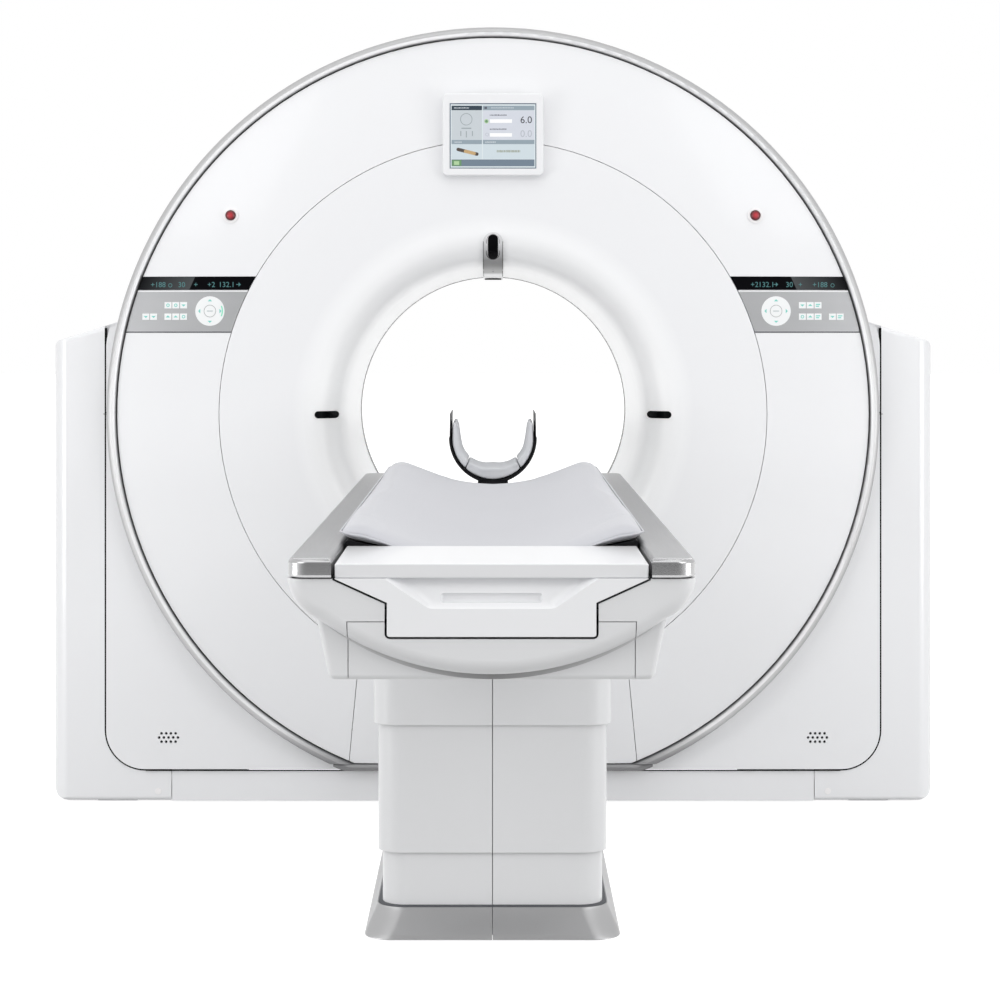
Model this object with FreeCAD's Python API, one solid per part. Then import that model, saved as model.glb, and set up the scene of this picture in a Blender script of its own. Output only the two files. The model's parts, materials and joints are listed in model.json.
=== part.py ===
import FreeCAD, Part
import math
import os

# A ct scanner: a round gantry with a patient bore, and a couch on a telescoping column.
# Millimetres. +Z is up, +Y runs along the couch into the bore, +X is the right-hand side seen from the couch.
# The origin is on the floor below the centre of the scan plane.

V = FreeCAD.Vector

# --- gantry, driving dimensions ---
ISO_Z = 981.0              # height of the bore's axis
BORE_R = 350.0             # radius of the bore at the scan plane
THROAT_R = 368.0           # radius where the bore's cone meets the bell mouth
THROAT_DEPTH = 290.0       # distance of that place from the scan plane
LIP_R = 470.0              # radius where the bell mouth meets the domed face
THROAT_PULL = 92.0         # how far the mouth's curve runs on straight from its throat
LIP_PULL = 68.0            # how far it runs level before the lip
FACE_DEPTH = 432.0         # distance of the foremost face from the scan plane
DOME_R = 2400.0            # radius of the gentle dome of the face
DISC_R = 682.0             # radius of the seam between the disc and the outer cover
OUTER_R = 941.5            # radius of the outer cover's edge
DISC_EDGE_Y = -384.0       # rear of the disc's turned-back edge
INNER_EDGE_Y = -395.0      # rear of the outer cover's turned-back edge at the same seam
OUTER_EDGE_Y = -325.0      # rear of the turned-back edge at the silver ring
WEDGE = (340.6, 308.0)     # half width of the lower centre panel at the height where it meets the disc
WEDGE_LEAN = 0.1009        # how much its sides spread for each millimetre down
RING_IN_R = 944.5          # inner radius of the silver ring
RING_OUT_R = 968.7         # outer radius of the silver ring
RING_BACK_Y = -350.0       # rear face of the silver ring
RING_RIDGE_Y = -397.0      # foremost line of the silver ring
FLAT_TOP_Z = 104.0         # inner edge of the ring's flat bottom run
FLAT_LOW_Z = 86.0          # lower edge of that run
RING_GAP = 1.8             # hairline round the silver ring
DRUM_R = 962.0             # radius of the casing behind the ring
CASING_WALL = 5.0
CASING_BACK_Y = 384.0
BARREL_R = 935.0           # radius of the steel barrel inside the casing
SKIN = 6.0                 # wall of the moulded covers
SEAM = 1.5                 # hairline between two covers
WINDOW_HALF = 21.0         # half width of the scan window ring
WINDOW_WALL = 2.0
WIDE = (-1000.0, 1000.0)         # wider than the round of the gantry
FRONT_SPACE = (-470.0, -300.0)   # a depth range that holds every front cover
MOUTH_OUT_R = 520.0              # a radius just outside the bell mouth

# --- gantry stand ---
TOWER_X = 1109.0           # outer face of the side towers
SEAM_X = 976.5             # upright seam between tower and front panels
SHOULDER_Z = 1161.0        # height of a tower at its outer face
SHOULDER_SLOPE = 0.3133    # rise of the shoulder towards the casing
FRONT_Y = -346.0           # front face of the towers
REAR_Y = 336.0             # rear face of the towers
PANEL_Y = -352.0           # front face of the corner panels
PANEL_BACK_Y = -310.0      # rear of their turned-back edges
PANEL_IN_X = 385.0         # their inner end, hidden behind the ring
PANEL_GAP = 2.0            # half the gap round the front panels
REAR_PANEL_Z = 470.0       # top of the lower rear panel
BASE_SEAM_Z = 81.0         # seam above the base strip
BASE_SPLIT_X = 810.0       # seam between the base strip and a tower's foot
COVER_LOW_Z = 4.0          # lower edge of the covers, clear of the floor
CORNER_R = 100.0           # radius of the lower corner of the front panels
ANCHOR = (950.0, 280.0)    # the gantry's floor anchors lie this far from the origin along X and Y
ANCHOR_HOLE_R = 9.0

# --- gantry fittings ---
PANEL_Z = (1184.0, 1290.0)     # height of the control panels
READOUT_Z = (1291.0, 1324.0)   # height of the black readout strips
INLAY = 3.0                    # thickness of both
DIAL = (706.0, 1238.0, 37.0)   # centre and radius of the round touch pad
KEY_SIZE = (17.8, 16.0)
KEY_ROWS = ((1252.6, (772.6, 792.5, 812.4)), (1224.0, (772.6, 792.5, 812.4, 849.0, 868.9)))
ESTOP = (655.0, 1477.0)        # centre of the emergency stop buttons
ESTOP_R = 12.5
ESTOP_SLEEVE_R = 14.2          # collar round the button
ESTOP_FLANGE_R = 19.0          # its flange on the cover
ESTOP_HOLE_R = 14.5            # hole in the cover
ESTOP_STEM_R = 6.0
SPEAKER = (817.5, 164.0)       # centre of the loudspeaker grilles
SPEAKER_PITCH = (11.8, 10.4)   # spacing of the holes along a row and between rows
SPEAKER_HOLE_R = 3.5
LASER_SIDE = (415.0, 979.5)    # centre of the side laser slots
LASER_SLOT = (58.0, 18.0)
LASER_FRAME = 8.0              # a side slot's opening is this much larger
LASER_TOP = (1398.0, 25.0, 62.0)   # centre height, width and height of the upright slot
MODULE_HALF = 25.5             # half width of the upright laser module
MODULE_TOP_Z = 1434.0
MODULE_THICK = 7.0
DISPLAY_Z = (1573.5, 1778.0)
DISPLAY_HALF = 125.0
SCREEN_Z = (1591.0, 1753.0)
SCREEN_HALF = 107.5
DISPLAY_FACE_Y = -453.0

# --- rotating assembly ---
FOCUS_UP = 570.0           # tube focus above the bore's axis
FOCUS_DETECTOR = 1040.0    # tube focus to detector face
FAN_HALF_DEG = 27.0
ROTOR_R = 895.0
ROTOR_IN_R = 400.0
ROTOR_PLATE_Y = (60.0, 90.0)
ROTOR_RIM_Y = -200.0
HUB_R = 440.0
BEARING_Y = (100.0, 165.0)
BEARING_MID_Y = 132.5
BEARING_FIT_R = 505.0          # where the bearing sits in the stator
INNER_RACE_R = 466.0
OUTER_RACE_R = 474.0
RACE_GROOVE = (8.0, 10.5)      # depth and half width of the running grooves
SLIP_RING_Y = (176.0, 196.0)
SLIP_RING_R = 640.0
SLIP_TRACKS = (510.0, 550.0, 590.0)
TRACK = (14.0, 3.0)            # half width and depth of a track
XRAY_TUBE_RISE = 108.0         # tube's axis above its focus
UNIT_X = (575.0, 850.0)        # the two units beside the bore
UNIT_Y = (-170.0, 60.0)
UNIT_HALF_Z = 150.0

# --- couch, driving dimensions ---
COUCH_HALF = 302.0         # half width over the silver side rails
COUCH_NEAR_Y = -2984.0     # foot end of the rails
COUCH_FAR_Y = -740.0       # head end of the rails
RAIL_Z = (826.0, 853.0)
RAIL_IN_X = 236.5
CAP_HALF = 231.5           # half width of the white cap
CAP_Z = (825.0, 847.0)
CAP_LEAN = 4.0             # how far its front face leans in at the bottom
CAP_FAR_Y = -2680.0
NECK_HALF = 154.5          # half width of the handle panel below the cap
NECK_Z = 789.0             # height where its slanted shoulders end
NECK_LOW_Z = 738.6
NECK_CORNER = 4.0
HANDLE_Y = (-2980.0, -2941.0)
SCOOP_MOUTH = (162.0, 93.0, 779.7)     # half width at the top and at the bottom, bottom height
SCOOP_FLOOR = (140.0, 86.0, 786.0)     # the same, of the scoop's floor
SCOOP_DEPTH = (30.0, 6.0)              # depth of the floor at the top and at the bottom
GRIP_HALF = 75.0                       # the finger slot in the floor
GRIP_Z = (790.0, 801.5)
GRIP_DEPTH = (5.0, 30.0)
TRAVEL_GAP = 3.5           # dark gap around the travelling parts
HULL_LOW_Z = 670.5
HULL_RIM_Z = 824.0
HULL_WALL = 5.0
BOWL_Y = (-2976.0, -745.0)     # the hull's bowl section
BOX_Y = (-2946.0, -800.0)      # the narrower box below it
FOOT_PANEL = (213.0, -2880.0, 760.0)   # half width, rear and top of the panel at the foot end
COLUMN_Y = (-1735.0, -945.0)   # front and rear of the lower sleeve
SLEEVE_HALF = 218.0            # half width of the lower sleeve
SLEEVE_STEP = 8.5              # each sleeve is this much wider all round than the one inside it
SLEEVE_WALL = 4.0
SLEEVE_Z = ((12.0, 215.0), (163.0, 493.0), (415.0, HULL_LOW_Z))
SLEEVE_CORNER = 50.0
COLUMN_MID_Y = (COLUMN_Y[0] + COLUMN_Y[1]) / 2
PLATE_TOP_Z = 12.0
COUCH_ANCHOR = (180.0, 330.0)   # the couch's floor anchors, from the middle of the column
TUBE_HALF = (150.0, 136.0, 122.0)   # half widths of the lift tubes
TUBE_WALL = 10.0
TUBE_Z = ((12.0, 345.0), (198.0, 522.0), (372.0, 702.0))

# --- cradle ---
TROUGH = (174.0, 843.4, 808.0)  # half width, height at that width and height at the middle of the trough
CRADLE_Y = (-2678.0, -722.0)
CRADLE_HALF = 233.5
SOCKET_Z = (794.2, 803.4)       # the slot in the cradle's end for the head holder
PAD_THICK = 18.5
HOLDER_Y = (-705.0, -445.0)
HOLDER_R = 103.0
HOLDER_Z = 930.5           # centre of the head holder's round
HOLDER_TOP_Z = 993.0
HOLDER_LOW_Z = 829.0
HOLDER_SPACE = (-800.0, -400.0)   # a depth range that holds it


# --- general shapes ---

def block(x, y, z):
    """A box given by its low and high ends along X, Y and Z."""
    return Part.makeBox(x[1] - x[0], y[1] - y[0], z[1] - z[0], V(x[0], y[0], z[0]))


def mirrored(shape):
    """The same shape on the other side of the plane x = 0."""
    return shape.mirror(V(0, 0, 0), V(1, 0, 0))


def on_both_sides(shape):
    """The shape and its mirror image."""
    return [shape, mirrored(shape)]


def closed_face(start, steps, place):
    """A face from a start and steps: a point, (middle, end) of an arc or (pole, pole, end) of a curve."""
    edges = []
    here = place(start)
    for step in steps:
        if isinstance(step[0], float):
            there = place(step)
            if (there - here).Length > 1e-6:
                edges.append(Part.LineSegment(here, there).toShape())
        elif len(step) == 2:
            there = place(step[1])
            edges.append(Part.Arc(here, place(step[0]), there).toShape())
        else:
            there = place(step[2])
            curve = Part.BezierCurve()
            curve.setPoles([here, place(step[0]), place(step[1]), there])
            edges.append(curve.toShape())
        here = there
    if (here - place(start)).Length > 1e-6:
        edges.append(Part.LineSegment(here, place(start)).toShape())
    return Part.Face(Part.Wire(edges))


def turned(start, steps, sweep=360.0, first=0.0):
    """A section of (radius, y) points turned about the bore's axis."""
    face = closed_face(start, steps, lambda p: V(p[0], p[1], ISO_Z))
    face.rotate(V(0, 0, ISO_Z), V(0, 1, 0), -first)
    return face.revolve(V(0, 0, ISO_Z), V(0, 1, 0), -sweep)


def ring(r_in, r_out, y):
    """A plain ring about the bore's axis."""
    return turned((r_in, y[0]), [(r_out, y[0]), (r_out, y[1]), (r_in, y[1])])


def plate(start, steps, y):
    """An outline of (x, z) points made into a plate between two depths."""
    face = closed_face(start, steps, lambda p: V(p[0], y[0], p[1]))
    return face.extrude(V(0, y[1] - y[0], 0))


def drum(r, y):
    """A solid cylinder about the bore's axis."""
    return Part.makeCylinder(r, y[1] - y[0], V(0, y[0], ISO_Z), V(0, 1, 0))


def peg(x, z, r, y):
    """A solid cylinder along Y."""
    return Part.makeCylinder(r, y[1] - y[0], V(x, y[0], z), V(0, 1, 0))


def capsule(x, z, width, height, y):
    """A plate with round ends, along X or Z, whichever is longer."""
    r = min(width, height) / 2
    dx = width / 2 - r
    dz = height / 2 - r
    body = block((x - width / 2 + (r if dx else 0), x + width / 2 - (r if dx else 0)), y,
                 (z - height / 2 + (r if dz else 0), z + height / 2 - (r if dz else 0)))
    ends = [peg(x - dx, z - dz, r, y), peg(x + dx, z + dz, r, y)]
    return body.fuse(ends).removeSplitter()


def rounded_outline(half, y, r, z):
    """A rounded rectangle seen from above, symmetric about x = 0."""
    c = r * (1 - math.sqrt(0.5))
    steps = [(half - r, y[0]), ((half - c, y[0] + c), (half, y[0] + r)),
             (half, y[1] - r), ((half - c, y[1] - c), (half - r, y[1])),
             (r - half, y[1]), ((c - half, y[1] - c), (-half, y[1] - r)),
             (-half, y[0] + r), ((c - half, y[0] + c), (r - half, y[0]))]
    return closed_face((r - half, y[0]), steps, lambda p: V(p[0], p[1], z))


def rounded_prism(half, y, r, z):
    """The rounded rectangle as a prism between two heights."""
    return rounded_outline(half, y, r, z[0]).extrude(V(0, 0, z[1] - z[0]))


def round_edges(shape, radius, keep):
    """Round the edges whose middle point passes the test."""
    edges = [e for e in shape.Edges if keep(e.valueAt((e.FirstParameter + e.LastParameter) / 2))]
    return shape.makeFillet(radius, edges)


# --- the domed face and the bell mouth ---

def dome_y(r, lift=0.0):
    """Where the domed front face lies at radius r, raised by lift."""
    return -FACE_DEPTH + DOME_R - math.sqrt((DOME_R + lift) ** 2 - (r - LIP_R) ** 2)


def bell_steps(lift, rim_r):
    """The bell mouth's curve from the window out to rim_r, raised by lift: its start and its steps."""
    slope = (THROAT_R - BORE_R) / (THROAT_DEPTH - WINDOW_HALF)
    start = (BORE_R - lift, -WINDOW_HALF - 1.0)
    throat = (THROAT_R - lift, -THROAT_DEPTH)
    pull = THROAT_PULL + 0.5 * lift
    lip = (LIP_R, -FACE_DEPTH - lift)
    bend = ((throat[0] + pull * slope, -THROAT_DEPTH - pull), (LIP_R - LIP_PULL - 0.5 * lift, lip[1]), lip)
    middle_r = (LIP_R + rim_r) / 2
    face = ((middle_r, dome_y(middle_r, lift)), (rim_r, dome_y(rim_r, lift)))
    return start, [throat, bend, face]


def reversed_steps(start, steps):
    """The same curve run backwards: its start and its steps."""
    points = [start] + [s if isinstance(s[0], float) else s[-1] for s in steps]
    back = []
    for i in range(len(steps) - 1, -1, -1):
        step = steps[i]
        if isinstance(step[0], float):
            back.append(points[i])
        else:
            back.append(tuple(reversed(step[:-1])) + (points[i],))
    return points[-1], back


def bell_layer(low, high, rim_r):
    """The layer between two lifts of the bell mouth and disc."""
    start, steps = bell_steps(high, rim_r)
    inner_end, inner_back = reversed_steps(*bell_steps(low, rim_r))
    return turned(start, steps + [inner_end] + inner_back)


def face_layer(low, high, r=(DISC_R + SEAM, OUTER_R)):
    """The layer between two lifts of the domed outer face."""
    mid = (r[0] + r[1]) / 2
    return turned((r[0], dome_y(r[0], high)),
                  [((mid, dome_y(mid, high)), (r[1], dome_y(r[1], high))),
                   (r[1], dome_y(r[1], low)),
                   ((mid, dome_y(mid, low)), (r[0], dome_y(r[0], low)))])


def disc_cover():
    """The bell mouth and disc with the turned-back edge at its seam."""
    start, steps = bell_steps(0.0, DISC_R)
    inner_end, inner_back = reversed_steps(*bell_steps(-SKIN, DISC_R - SKIN))
    edge = [(DISC_R, DISC_EDGE_Y), (DISC_R - SKIN, DISC_EDGE_Y)]
    return turned(start, steps + edge + [inner_end] + inner_back)


def outer_cover(edge_r):
    """The domed ring outside the disc with turned-back edges at both seams."""
    r0 = DISC_R + SEAM
    mid = (r0 + edge_r) / 2
    return turned((r0, dome_y(r0)),
                  [((mid, dome_y(mid)), (edge_r, dome_y(edge_r))),
                   (edge_r, OUTER_EDGE_Y), (edge_r - SKIN, OUTER_EDGE_Y),
                   (edge_r - SKIN, dome_y(edge_r - SKIN, -SKIN)),
                   ((mid, dome_y(mid, -SKIN)), (r0 + SKIN, dome_y(r0 + SKIN, -SKIN))),
                   (r0 + SKIN, INNER_EDGE_Y), (r0, INNER_EDGE_Y)])


def to_the_rear(shape):
    """The same shape seen from behind the scan plane."""
    return shape.mirror(V(0, 0, 0), V(0, 1, 0))


# --- front covers ---

def lower_wedge(gap):
    """The space between the two slanted hairlines below the disc."""
    low_z, high_z = 90.0, 420.0
    half = WEDGE[0] - gap
    low = half + WEDGE_LEAN * (WEDGE[1] - low_z)
    high = half - WEDGE_LEAN * (high_z - WEDGE[1])
    return plate((-low, low_z), [(low, low_z), (high, high_z), (-high, high_z)], FRONT_SPACE)


def inlay_band(z, gap=0.0):
    """The height band of a panel let into the outer cover."""
    return block(WIDE, FRONT_SPACE, (z[0] - gap, z[1] + gap))


def below_flat():
    """The space below the ring's flat bottom run."""
    return block(WIDE, FRONT_SPACE, (0.0, FLAT_TOP_Z + SEAM))


def front_disc_cover():
    cover = disc_cover()
    for side in (-1, 1):
        slot = capsule(side * LASER_SIDE[0], LASER_SIDE[1], LASER_SLOT[0] + LASER_FRAME,
                       LASER_SLOT[1] + LASER_FRAME, FRONT_SPACE)
        cover = cover.cut(slot)
    return cover


def outer_front_cover():
    recess = face_layer(-INLAY, 1.0).common(inlay_band((PANEL_Z[0], READOUT_Z[1]), 0.5))
    holes = [peg(side * ESTOP[0], ESTOP[1], ESTOP_HOLE_R, FRONT_SPACE) for side in (-1, 1)]
    return outer_cover(OUTER_R).cut([recess, below_flat(), lower_wedge(-SEAM / 2)] + holes)


def lower_centre_panel():
    return outer_cover(OUTER_R).common(lower_wedge(SEAM / 2)).cut(below_flat())


def ring_section(place_r, place_y):
    """The silver ring's section: a rounded ridge between two flanks."""
    width = RING_OUT_R - RING_IN_R
    ridge = place_y + RING_RIDGE_Y
    return ((place_r, place_y + RING_BACK_Y),
            [(place_r, ridge + 9.0), ((place_r + 3.5, ridge + 2.2), (place_r + 11.0, ridge)),
             ((place_r + width - 4.5, ridge + 4.0), (place_r + width, ridge + 14.0)),
             (place_r + width, place_y + RING_BACK_Y)])


def ring_trim():
    """The ring round the front, flattened along the bottom."""
    start, steps = ring_section(RING_IN_R, 0.0)
    fall = (FLAT_TOP_Z - FLAT_LOW_Z) / (RING_OUT_R - RING_IN_R)
    space = (-500.0, 0.0)
    run_half = 400.0
    above = block(WIDE, space, (FLAT_TOP_Z, 2000.0))
    arc = turned(start, steps).common(above)
    face = closed_face(start, steps, lambda p: V(-run_half, p[1], FLAT_TOP_Z - (p[0] - RING_IN_R) * fall))
    run = face.extrude(V(2 * run_half, 0, 0)).common(drum(RING_OUT_R, space))
    return arc.fuse(run).removeSplitter()


def corner_outline(grow, top_z):
    """The outer outline of a lower corner panel, on the right-hand side."""
    x = SEAM_X + grow
    z = BASE_SEAM_Z + SEAM - grow
    r = CORNER_R + grow
    c = r * (1 - math.sqrt(0.5))
    inner = PANEL_IN_X - grow
    return ((x, top_z), [(x, z + r), ((x - c, z + c), (x - r, z)), (inner, z), (inner, top_z)])


def lower_corner_panel():
    """The right-hand panel below the split, with its loudspeaker holes."""
    top_z = ISO_Z + 0.8
    skin = plate(*corner_outline(-PANEL_GAP, top_z), (PANEL_Y, PANEL_Y + SKIN))
    edge = plate(*corner_outline(-PANEL_GAP, top_z), (PANEL_Y, PANEL_BACK_Y))
    edge = edge.cut(plate(*corner_outline(-PANEL_GAP - SKIN, top_z + 10.0), FRONT_SPACE))
    inner_end = block((PANEL_IN_X - 5.0, PANEL_IN_X + SKIN + 1.0), (PANEL_Y + SKIN, FRONT_SPACE[1]),
                      (80.0, 1000.0))
    edge = edge.cut(inner_end)
    panel = skin.fuse(edge).cut(drum(RING_OUT_R + RING_GAP, FRONT_SPACE))
    return panel.cut(speaker_holes())


def speaker_holes():
    """Thirteen small holes in rows of four, five and four."""
    holes = []
    for row, count in ((-1, 4), (0, 5), (1, 4)):
        for i in range(count):
            x = SPEAKER[0] + (i - (count - 1) / 2) * SPEAKER_PITCH[0]
            holes.append(peg(x, SPEAKER[1] + row * SPEAKER_PITCH[1], SPEAKER_HOLE_R, FRONT_SPACE))
    return holes


def shoulder_z(x):
    """Height of the sloping shoulder at a distance from the middle plane."""
    return SHOULDER_Z + (TOWER_X - x) * SHOULDER_SLOPE


def upper_corner_panels():
    """The narrow panels between the ring and the upright seams."""
    x = SEAM_X - PANEL_GAP
    inner_x = 930.0
    low = ISO_Z + 3.5
    drop = 6.0
    top = shoulder_z(x) - drop
    steps = [(x, top - 60.0), ((x - 2.5, top - 25.0), (x - 9.0, top)),
             (inner_x, shoulder_z(inner_x) - drop), (inner_x, low)]
    sliver = plate((x, low), steps, (PANEL_Y, PANEL_Y + SKIN))
    sliver = sliver.cut(drum(RING_OUT_R + RING_GAP, FRONT_SPACE))
    return Part.makeCompound(on_both_sides(sliver))


def tower_block(inset):
    """A tower's outer form on the right-hand side, or, with an inset, the space inside it."""
    x = TOWER_X - inset
    inner_x = BASE_SPLIT_X + 1.0 - 3.0 * inset
    low = COVER_LOW_Z - 5.0 * inset
    top = shoulder_z(x) - 1.05 * inset
    corner = 14.0
    foot = 34.0
    bend = foot * (1 - math.sqrt(0.5))
    front = FRONT_Y + inset
    rear = REAR_Y - inset
    steps = [(x - foot, low), ((x - bend, low + bend), (x, low + foot)),
             (x, top - corner), ((x - 2.6, top - 3.4), (x - corner, top + corner * SHOULDER_SLOPE)),
             (inner_x, top + (x - inner_x) * SHOULDER_SLOPE), (inner_x, low)]
    form = plate((inner_x, low), steps, (front, rear))
    r = 36.0 - inset
    c = r * (1 - math.sqrt(0.5))
    plan = [(x - r, front), ((x - c, front + c), (x, front + r)), (x, rear - r),
            ((x - c, rear - c), (x - r, rear)), (inner_x, rear)]
    column = closed_face((inner_x, front), plan, lambda p: V(p[0], p[1], -60.0)).extrude(V(0, 0, 1500.0))
    return form.common(column)


def tower_cover():
    """The cover of the right-hand tower: side, shoulder, front band with its foot, and rear."""
    shell = tower_block(0.0).cut(tower_block(SKIN))
    opening = plate(*corner_outline(PANEL_GAP, 1400.0), (FRONT_SPACE[0], FRONT_Y + 20.0))
    return shell.cut([opening, drum(DRUM_R + SEAM, (-400.0, 400.0))])


def base_strip():
    """The strip along the floor with a lip turned back under the panels."""
    half = BASE_SPLIT_X - 1.0
    top = BASE_SEAM_Z - SEAM
    lip = 9.0
    return block((-half, half), (FRONT_Y, FRONT_Y + SKIN), (COVER_LOW_Z, top)).fuse(
        block((-half, half), (FRONT_Y, FRONT_Y + lip), (top - SKIN, top))).removeSplitter()


def drum_cover():
    """The casing over the top, down to the shoulders."""
    open_deg = 7.0
    inner_r = DRUM_R - CASING_WALL
    y = (RING_BACK_Y + 1.0, CASING_BACK_Y)
    return turned((inner_r, y[0]), [(DRUM_R, y[0]), (DRUM_R, y[1]), (inner_r, y[1])],
                  180.0 - 2.0 * open_deg, open_deg)


def rear_outer_cover():
    flat = block(WIDE, (-FRONT_SPACE[1], -FRONT_SPACE[0]), (0.0, FLAT_TOP_Z))
    return to_the_rear(outer_cover(DRUM_R - CASING_WALL - 0.5)).cut(flat)


def rear_lower_cover():
    """The panel that closes the rear below the round cover, between the towers."""
    half = BASE_SPLIT_X - 1.0
    return block((-half, half), (REAR_Y - SKIN, REAR_Y), (COVER_LOW_Z, REAR_PANEL_Z)).cut(
        drum(DRUM_R + SEAM, (0.0, 400.0)))


def scan_window():
    r = BORE_R + 0.6
    return ring(r, r + WINDOW_WALL, (-WINDOW_HALF, WINDOW_HALF))


# --- fittings of the front ---

def laser_module():
    """The strip that runs from above the bell mouth down into the bore."""
    space = block((-MODULE_HALF, MODULE_HALF), (FRONT_SPACE[0], 0.0), (ISO_Z + 300.0, MODULE_TOP_Z))
    strip = bell_layer(0.0, MODULE_THICK, MOUTH_OUT_R).common(space)
    return round_edges(strip, 8.0, lambda p: p.z > MODULE_TOP_Z - 4.0 and abs(p.x) > MODULE_HALF - 0.5)


def laser_windows():
    """The dark windows: one upright on the module and one level on each side."""
    top = bell_layer(MODULE_THICK, MODULE_THICK + 1.2, MOUTH_OUT_R).common(
        capsule(0.0, *LASER_TOP, FRONT_SPACE))
    side = bell_layer(-4.0, 0.0, MOUTH_OUT_R).common(
        capsule(*LASER_SIDE, *LASER_SLOT, FRONT_SPACE))
    return Part.makeCompound([top] + on_both_sides(side))


def laser_bezels():
    """Pale frames round the side windows."""
    fit = 0.4
    width, height = LASER_SLOT
    outer = capsule(*LASER_SIDE, width + LASER_FRAME - fit, height + LASER_FRAME - fit, FRONT_SPACE)
    frame = outer.cut(capsule(*LASER_SIDE, width + fit, height + fit, FRONT_SPACE))
    return Part.makeCompound(on_both_sides(bell_layer(-SKIN, 1.2, MOUTH_OUT_R).common(frame)))


def control_panel():
    """The right-hand silver panel let into the outer cover."""
    return face_layer(-INLAY, 0.0).common(inlay_band(PANEL_Z)).common(
        block((0.0, WIDE[1]), FRONT_SPACE, PANEL_Z))


def readouts():
    """The black strips above the control panels."""
    return face_layer(-INLAY, 0.0).common(inlay_band(READOUT_Z))


def keypads():
    """The raised touch pad and keys of both panels."""
    x, z, r = DIAL
    groove = peg(x, z, 0.42 * r, FRONT_SPACE).cut(peg(x, z, 0.38 * r, FRONT_SPACE))
    dial = peg(x, z, r, FRONT_SPACE).cut(groove)
    keys = [dial]
    for row_z, row in KEY_ROWS:
        for key_x in row:
            keys.append(block((key_x - KEY_SIZE[0] / 2, key_x + KEY_SIZE[0] / 2), FRONT_SPACE,
                              (row_z - KEY_SIZE[1] / 2, row_z + KEY_SIZE[1] / 2)))
    layer = face_layer(0.0, 1.2, (DISC_R + 20.0, OUTER_R - 10.0))
    raised = []
    for key in keys:
        raised += layer.common(key).Solids
    return Part.makeCompound(raised + [mirrored(key) for key in raised])


def estop_face_y():
    """Depth of the domed face at the emergency stops."""
    return dome_y(math.hypot(ESTOP[0], ESTOP[1] - ISO_Z))


def estop_collars():
    """A flanged collar in the cover for each emergency stop, with its switch block behind."""
    x, z = ESTOP
    y = estop_face_y()
    proud = 4.0
    deep = y + 24.0
    switch_half = 16.0
    flange = peg(x, z, ESTOP_FLANGE_R, FRONT_SPACE).common(face_layer(0.0, proud))
    sleeve = peg(x, z, ESTOP_SLEEVE_R, (y - proud, deep))
    bore = peg(x, z, ESTOP_R + 0.6, (FRONT_SPACE[0], deep + 0.5))
    collar = flange.fuse(sleeve).cut(bore)
    h = switch_half
    switch = block((x - h, x + h), (deep, deep + 30.0), (z - h, z + h))
    return Part.makeCompound(on_both_sides(collar.fuse(switch)))


def estop_button(side):
    """A mushroom head on a stem that reaches back to the switch."""
    x = side * ESTOP[0]
    y = estop_face_y()
    crown, under, end = y - 14.0, y + 4.0, y + 17.0
    steps = [((ESTOP_R * 0.62, crown + 1.4), (ESTOP_R, crown + 5.0)), (ESTOP_R, under), (ESTOP_STEM_R, under),
             (ESTOP_STEM_R, end), (0.0, end)]
    profile = closed_face((0.0, crown), steps, lambda p: V(x + p[0], p[1], ESTOP[1]))
    return profile.revolve(V(x, 0, ESTOP[1]), V(0, 1, 0), 360)


def speakers():
    """A round loudspeaker behind each grille."""
    x, z = SPEAKER
    y = PANEL_Y + SKIN
    basket = peg(x, z, 36.0, (y, y + 12.0)).fuse(peg(x, z, 22.0, (y + 12.0, y + 30.0)))
    return Part.makeCompound(on_both_sides(basket))


def display_housing():
    """The raised frame of the display with a shallow seat for the screen."""
    body = block((-DISPLAY_HALF, DISPLAY_HALF), (DISPLAY_FACE_Y, -395.0), DISPLAY_Z)
    body = round_edges(body, 12.0, lambda p: abs(p.x) > DISPLAY_HALF - 1 and
                       min(abs(p.z - DISPLAY_Z[0]), abs(p.z - DISPLAY_Z[1])) < 1.0)
    body = round_edges(body, 4.0, lambda p: p.y < DISPLAY_FACE_Y + 0.1)
    seat = block((-SCREEN_HALF, SCREEN_HALF), (DISPLAY_FACE_Y - 1.0, DISPLAY_FACE_Y + 4.0), SCREEN_Z)
    disc = bell_layer(-60.0, 0.0, DISC_R + 0.1)
    outer = face_layer(-60.0, 0.0, (DISC_R, OUTER_R))
    return body.cut([seat, disc, outer])


def display_screen():
    return block((-SCREEN_HALF + 0.3, SCREEN_HALF - 0.3), (DISPLAY_FACE_Y + 1.2, DISPLAY_FACE_Y + 4.0),
                 (SCREEN_Z[0] + 0.3, SCREEN_Z[1] - 0.3))


# --- gantry structure ---

def gantry_base_frame():
    """A welded floor frame with four anchor feet and the two saddles for the barrel."""
    height = (8.0, 38.0)
    half_bar = 40.0
    bars = []
    for y in (-ANCHOR[1], ANCHOR[1]):
        bars.append(block(WIDE, (y - half_bar, y + half_bar), height))
    for side in (-1, 1):
        ends = sorted((side * (ANCHOR[0] - 50.0), side * (ANCHOR[0] + 50.0)))
        bars.append(block(ends, (-ANCHOR[1] + half_bar, ANCHOR[1] - half_bar), height))
        for y in (-ANCHOR[1], ANCHOR[1]):
            bars.append(block(ends, (y - half_bar, y + half_bar), (0.0, height[0])))
    frame = bars[0].fuse(bars[1:] + on_both_sides(saddle())).removeSplitter()
    for x in (-ANCHOR[0], ANCHOR[0]):
        for y in (-ANCHOR[1], ANCHOR[1]):
            frame = frame.cut(Part.makeCylinder(ANCHOR_HOLE_R, 60.0, V(x, y, -5.0)))
    return frame


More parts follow.
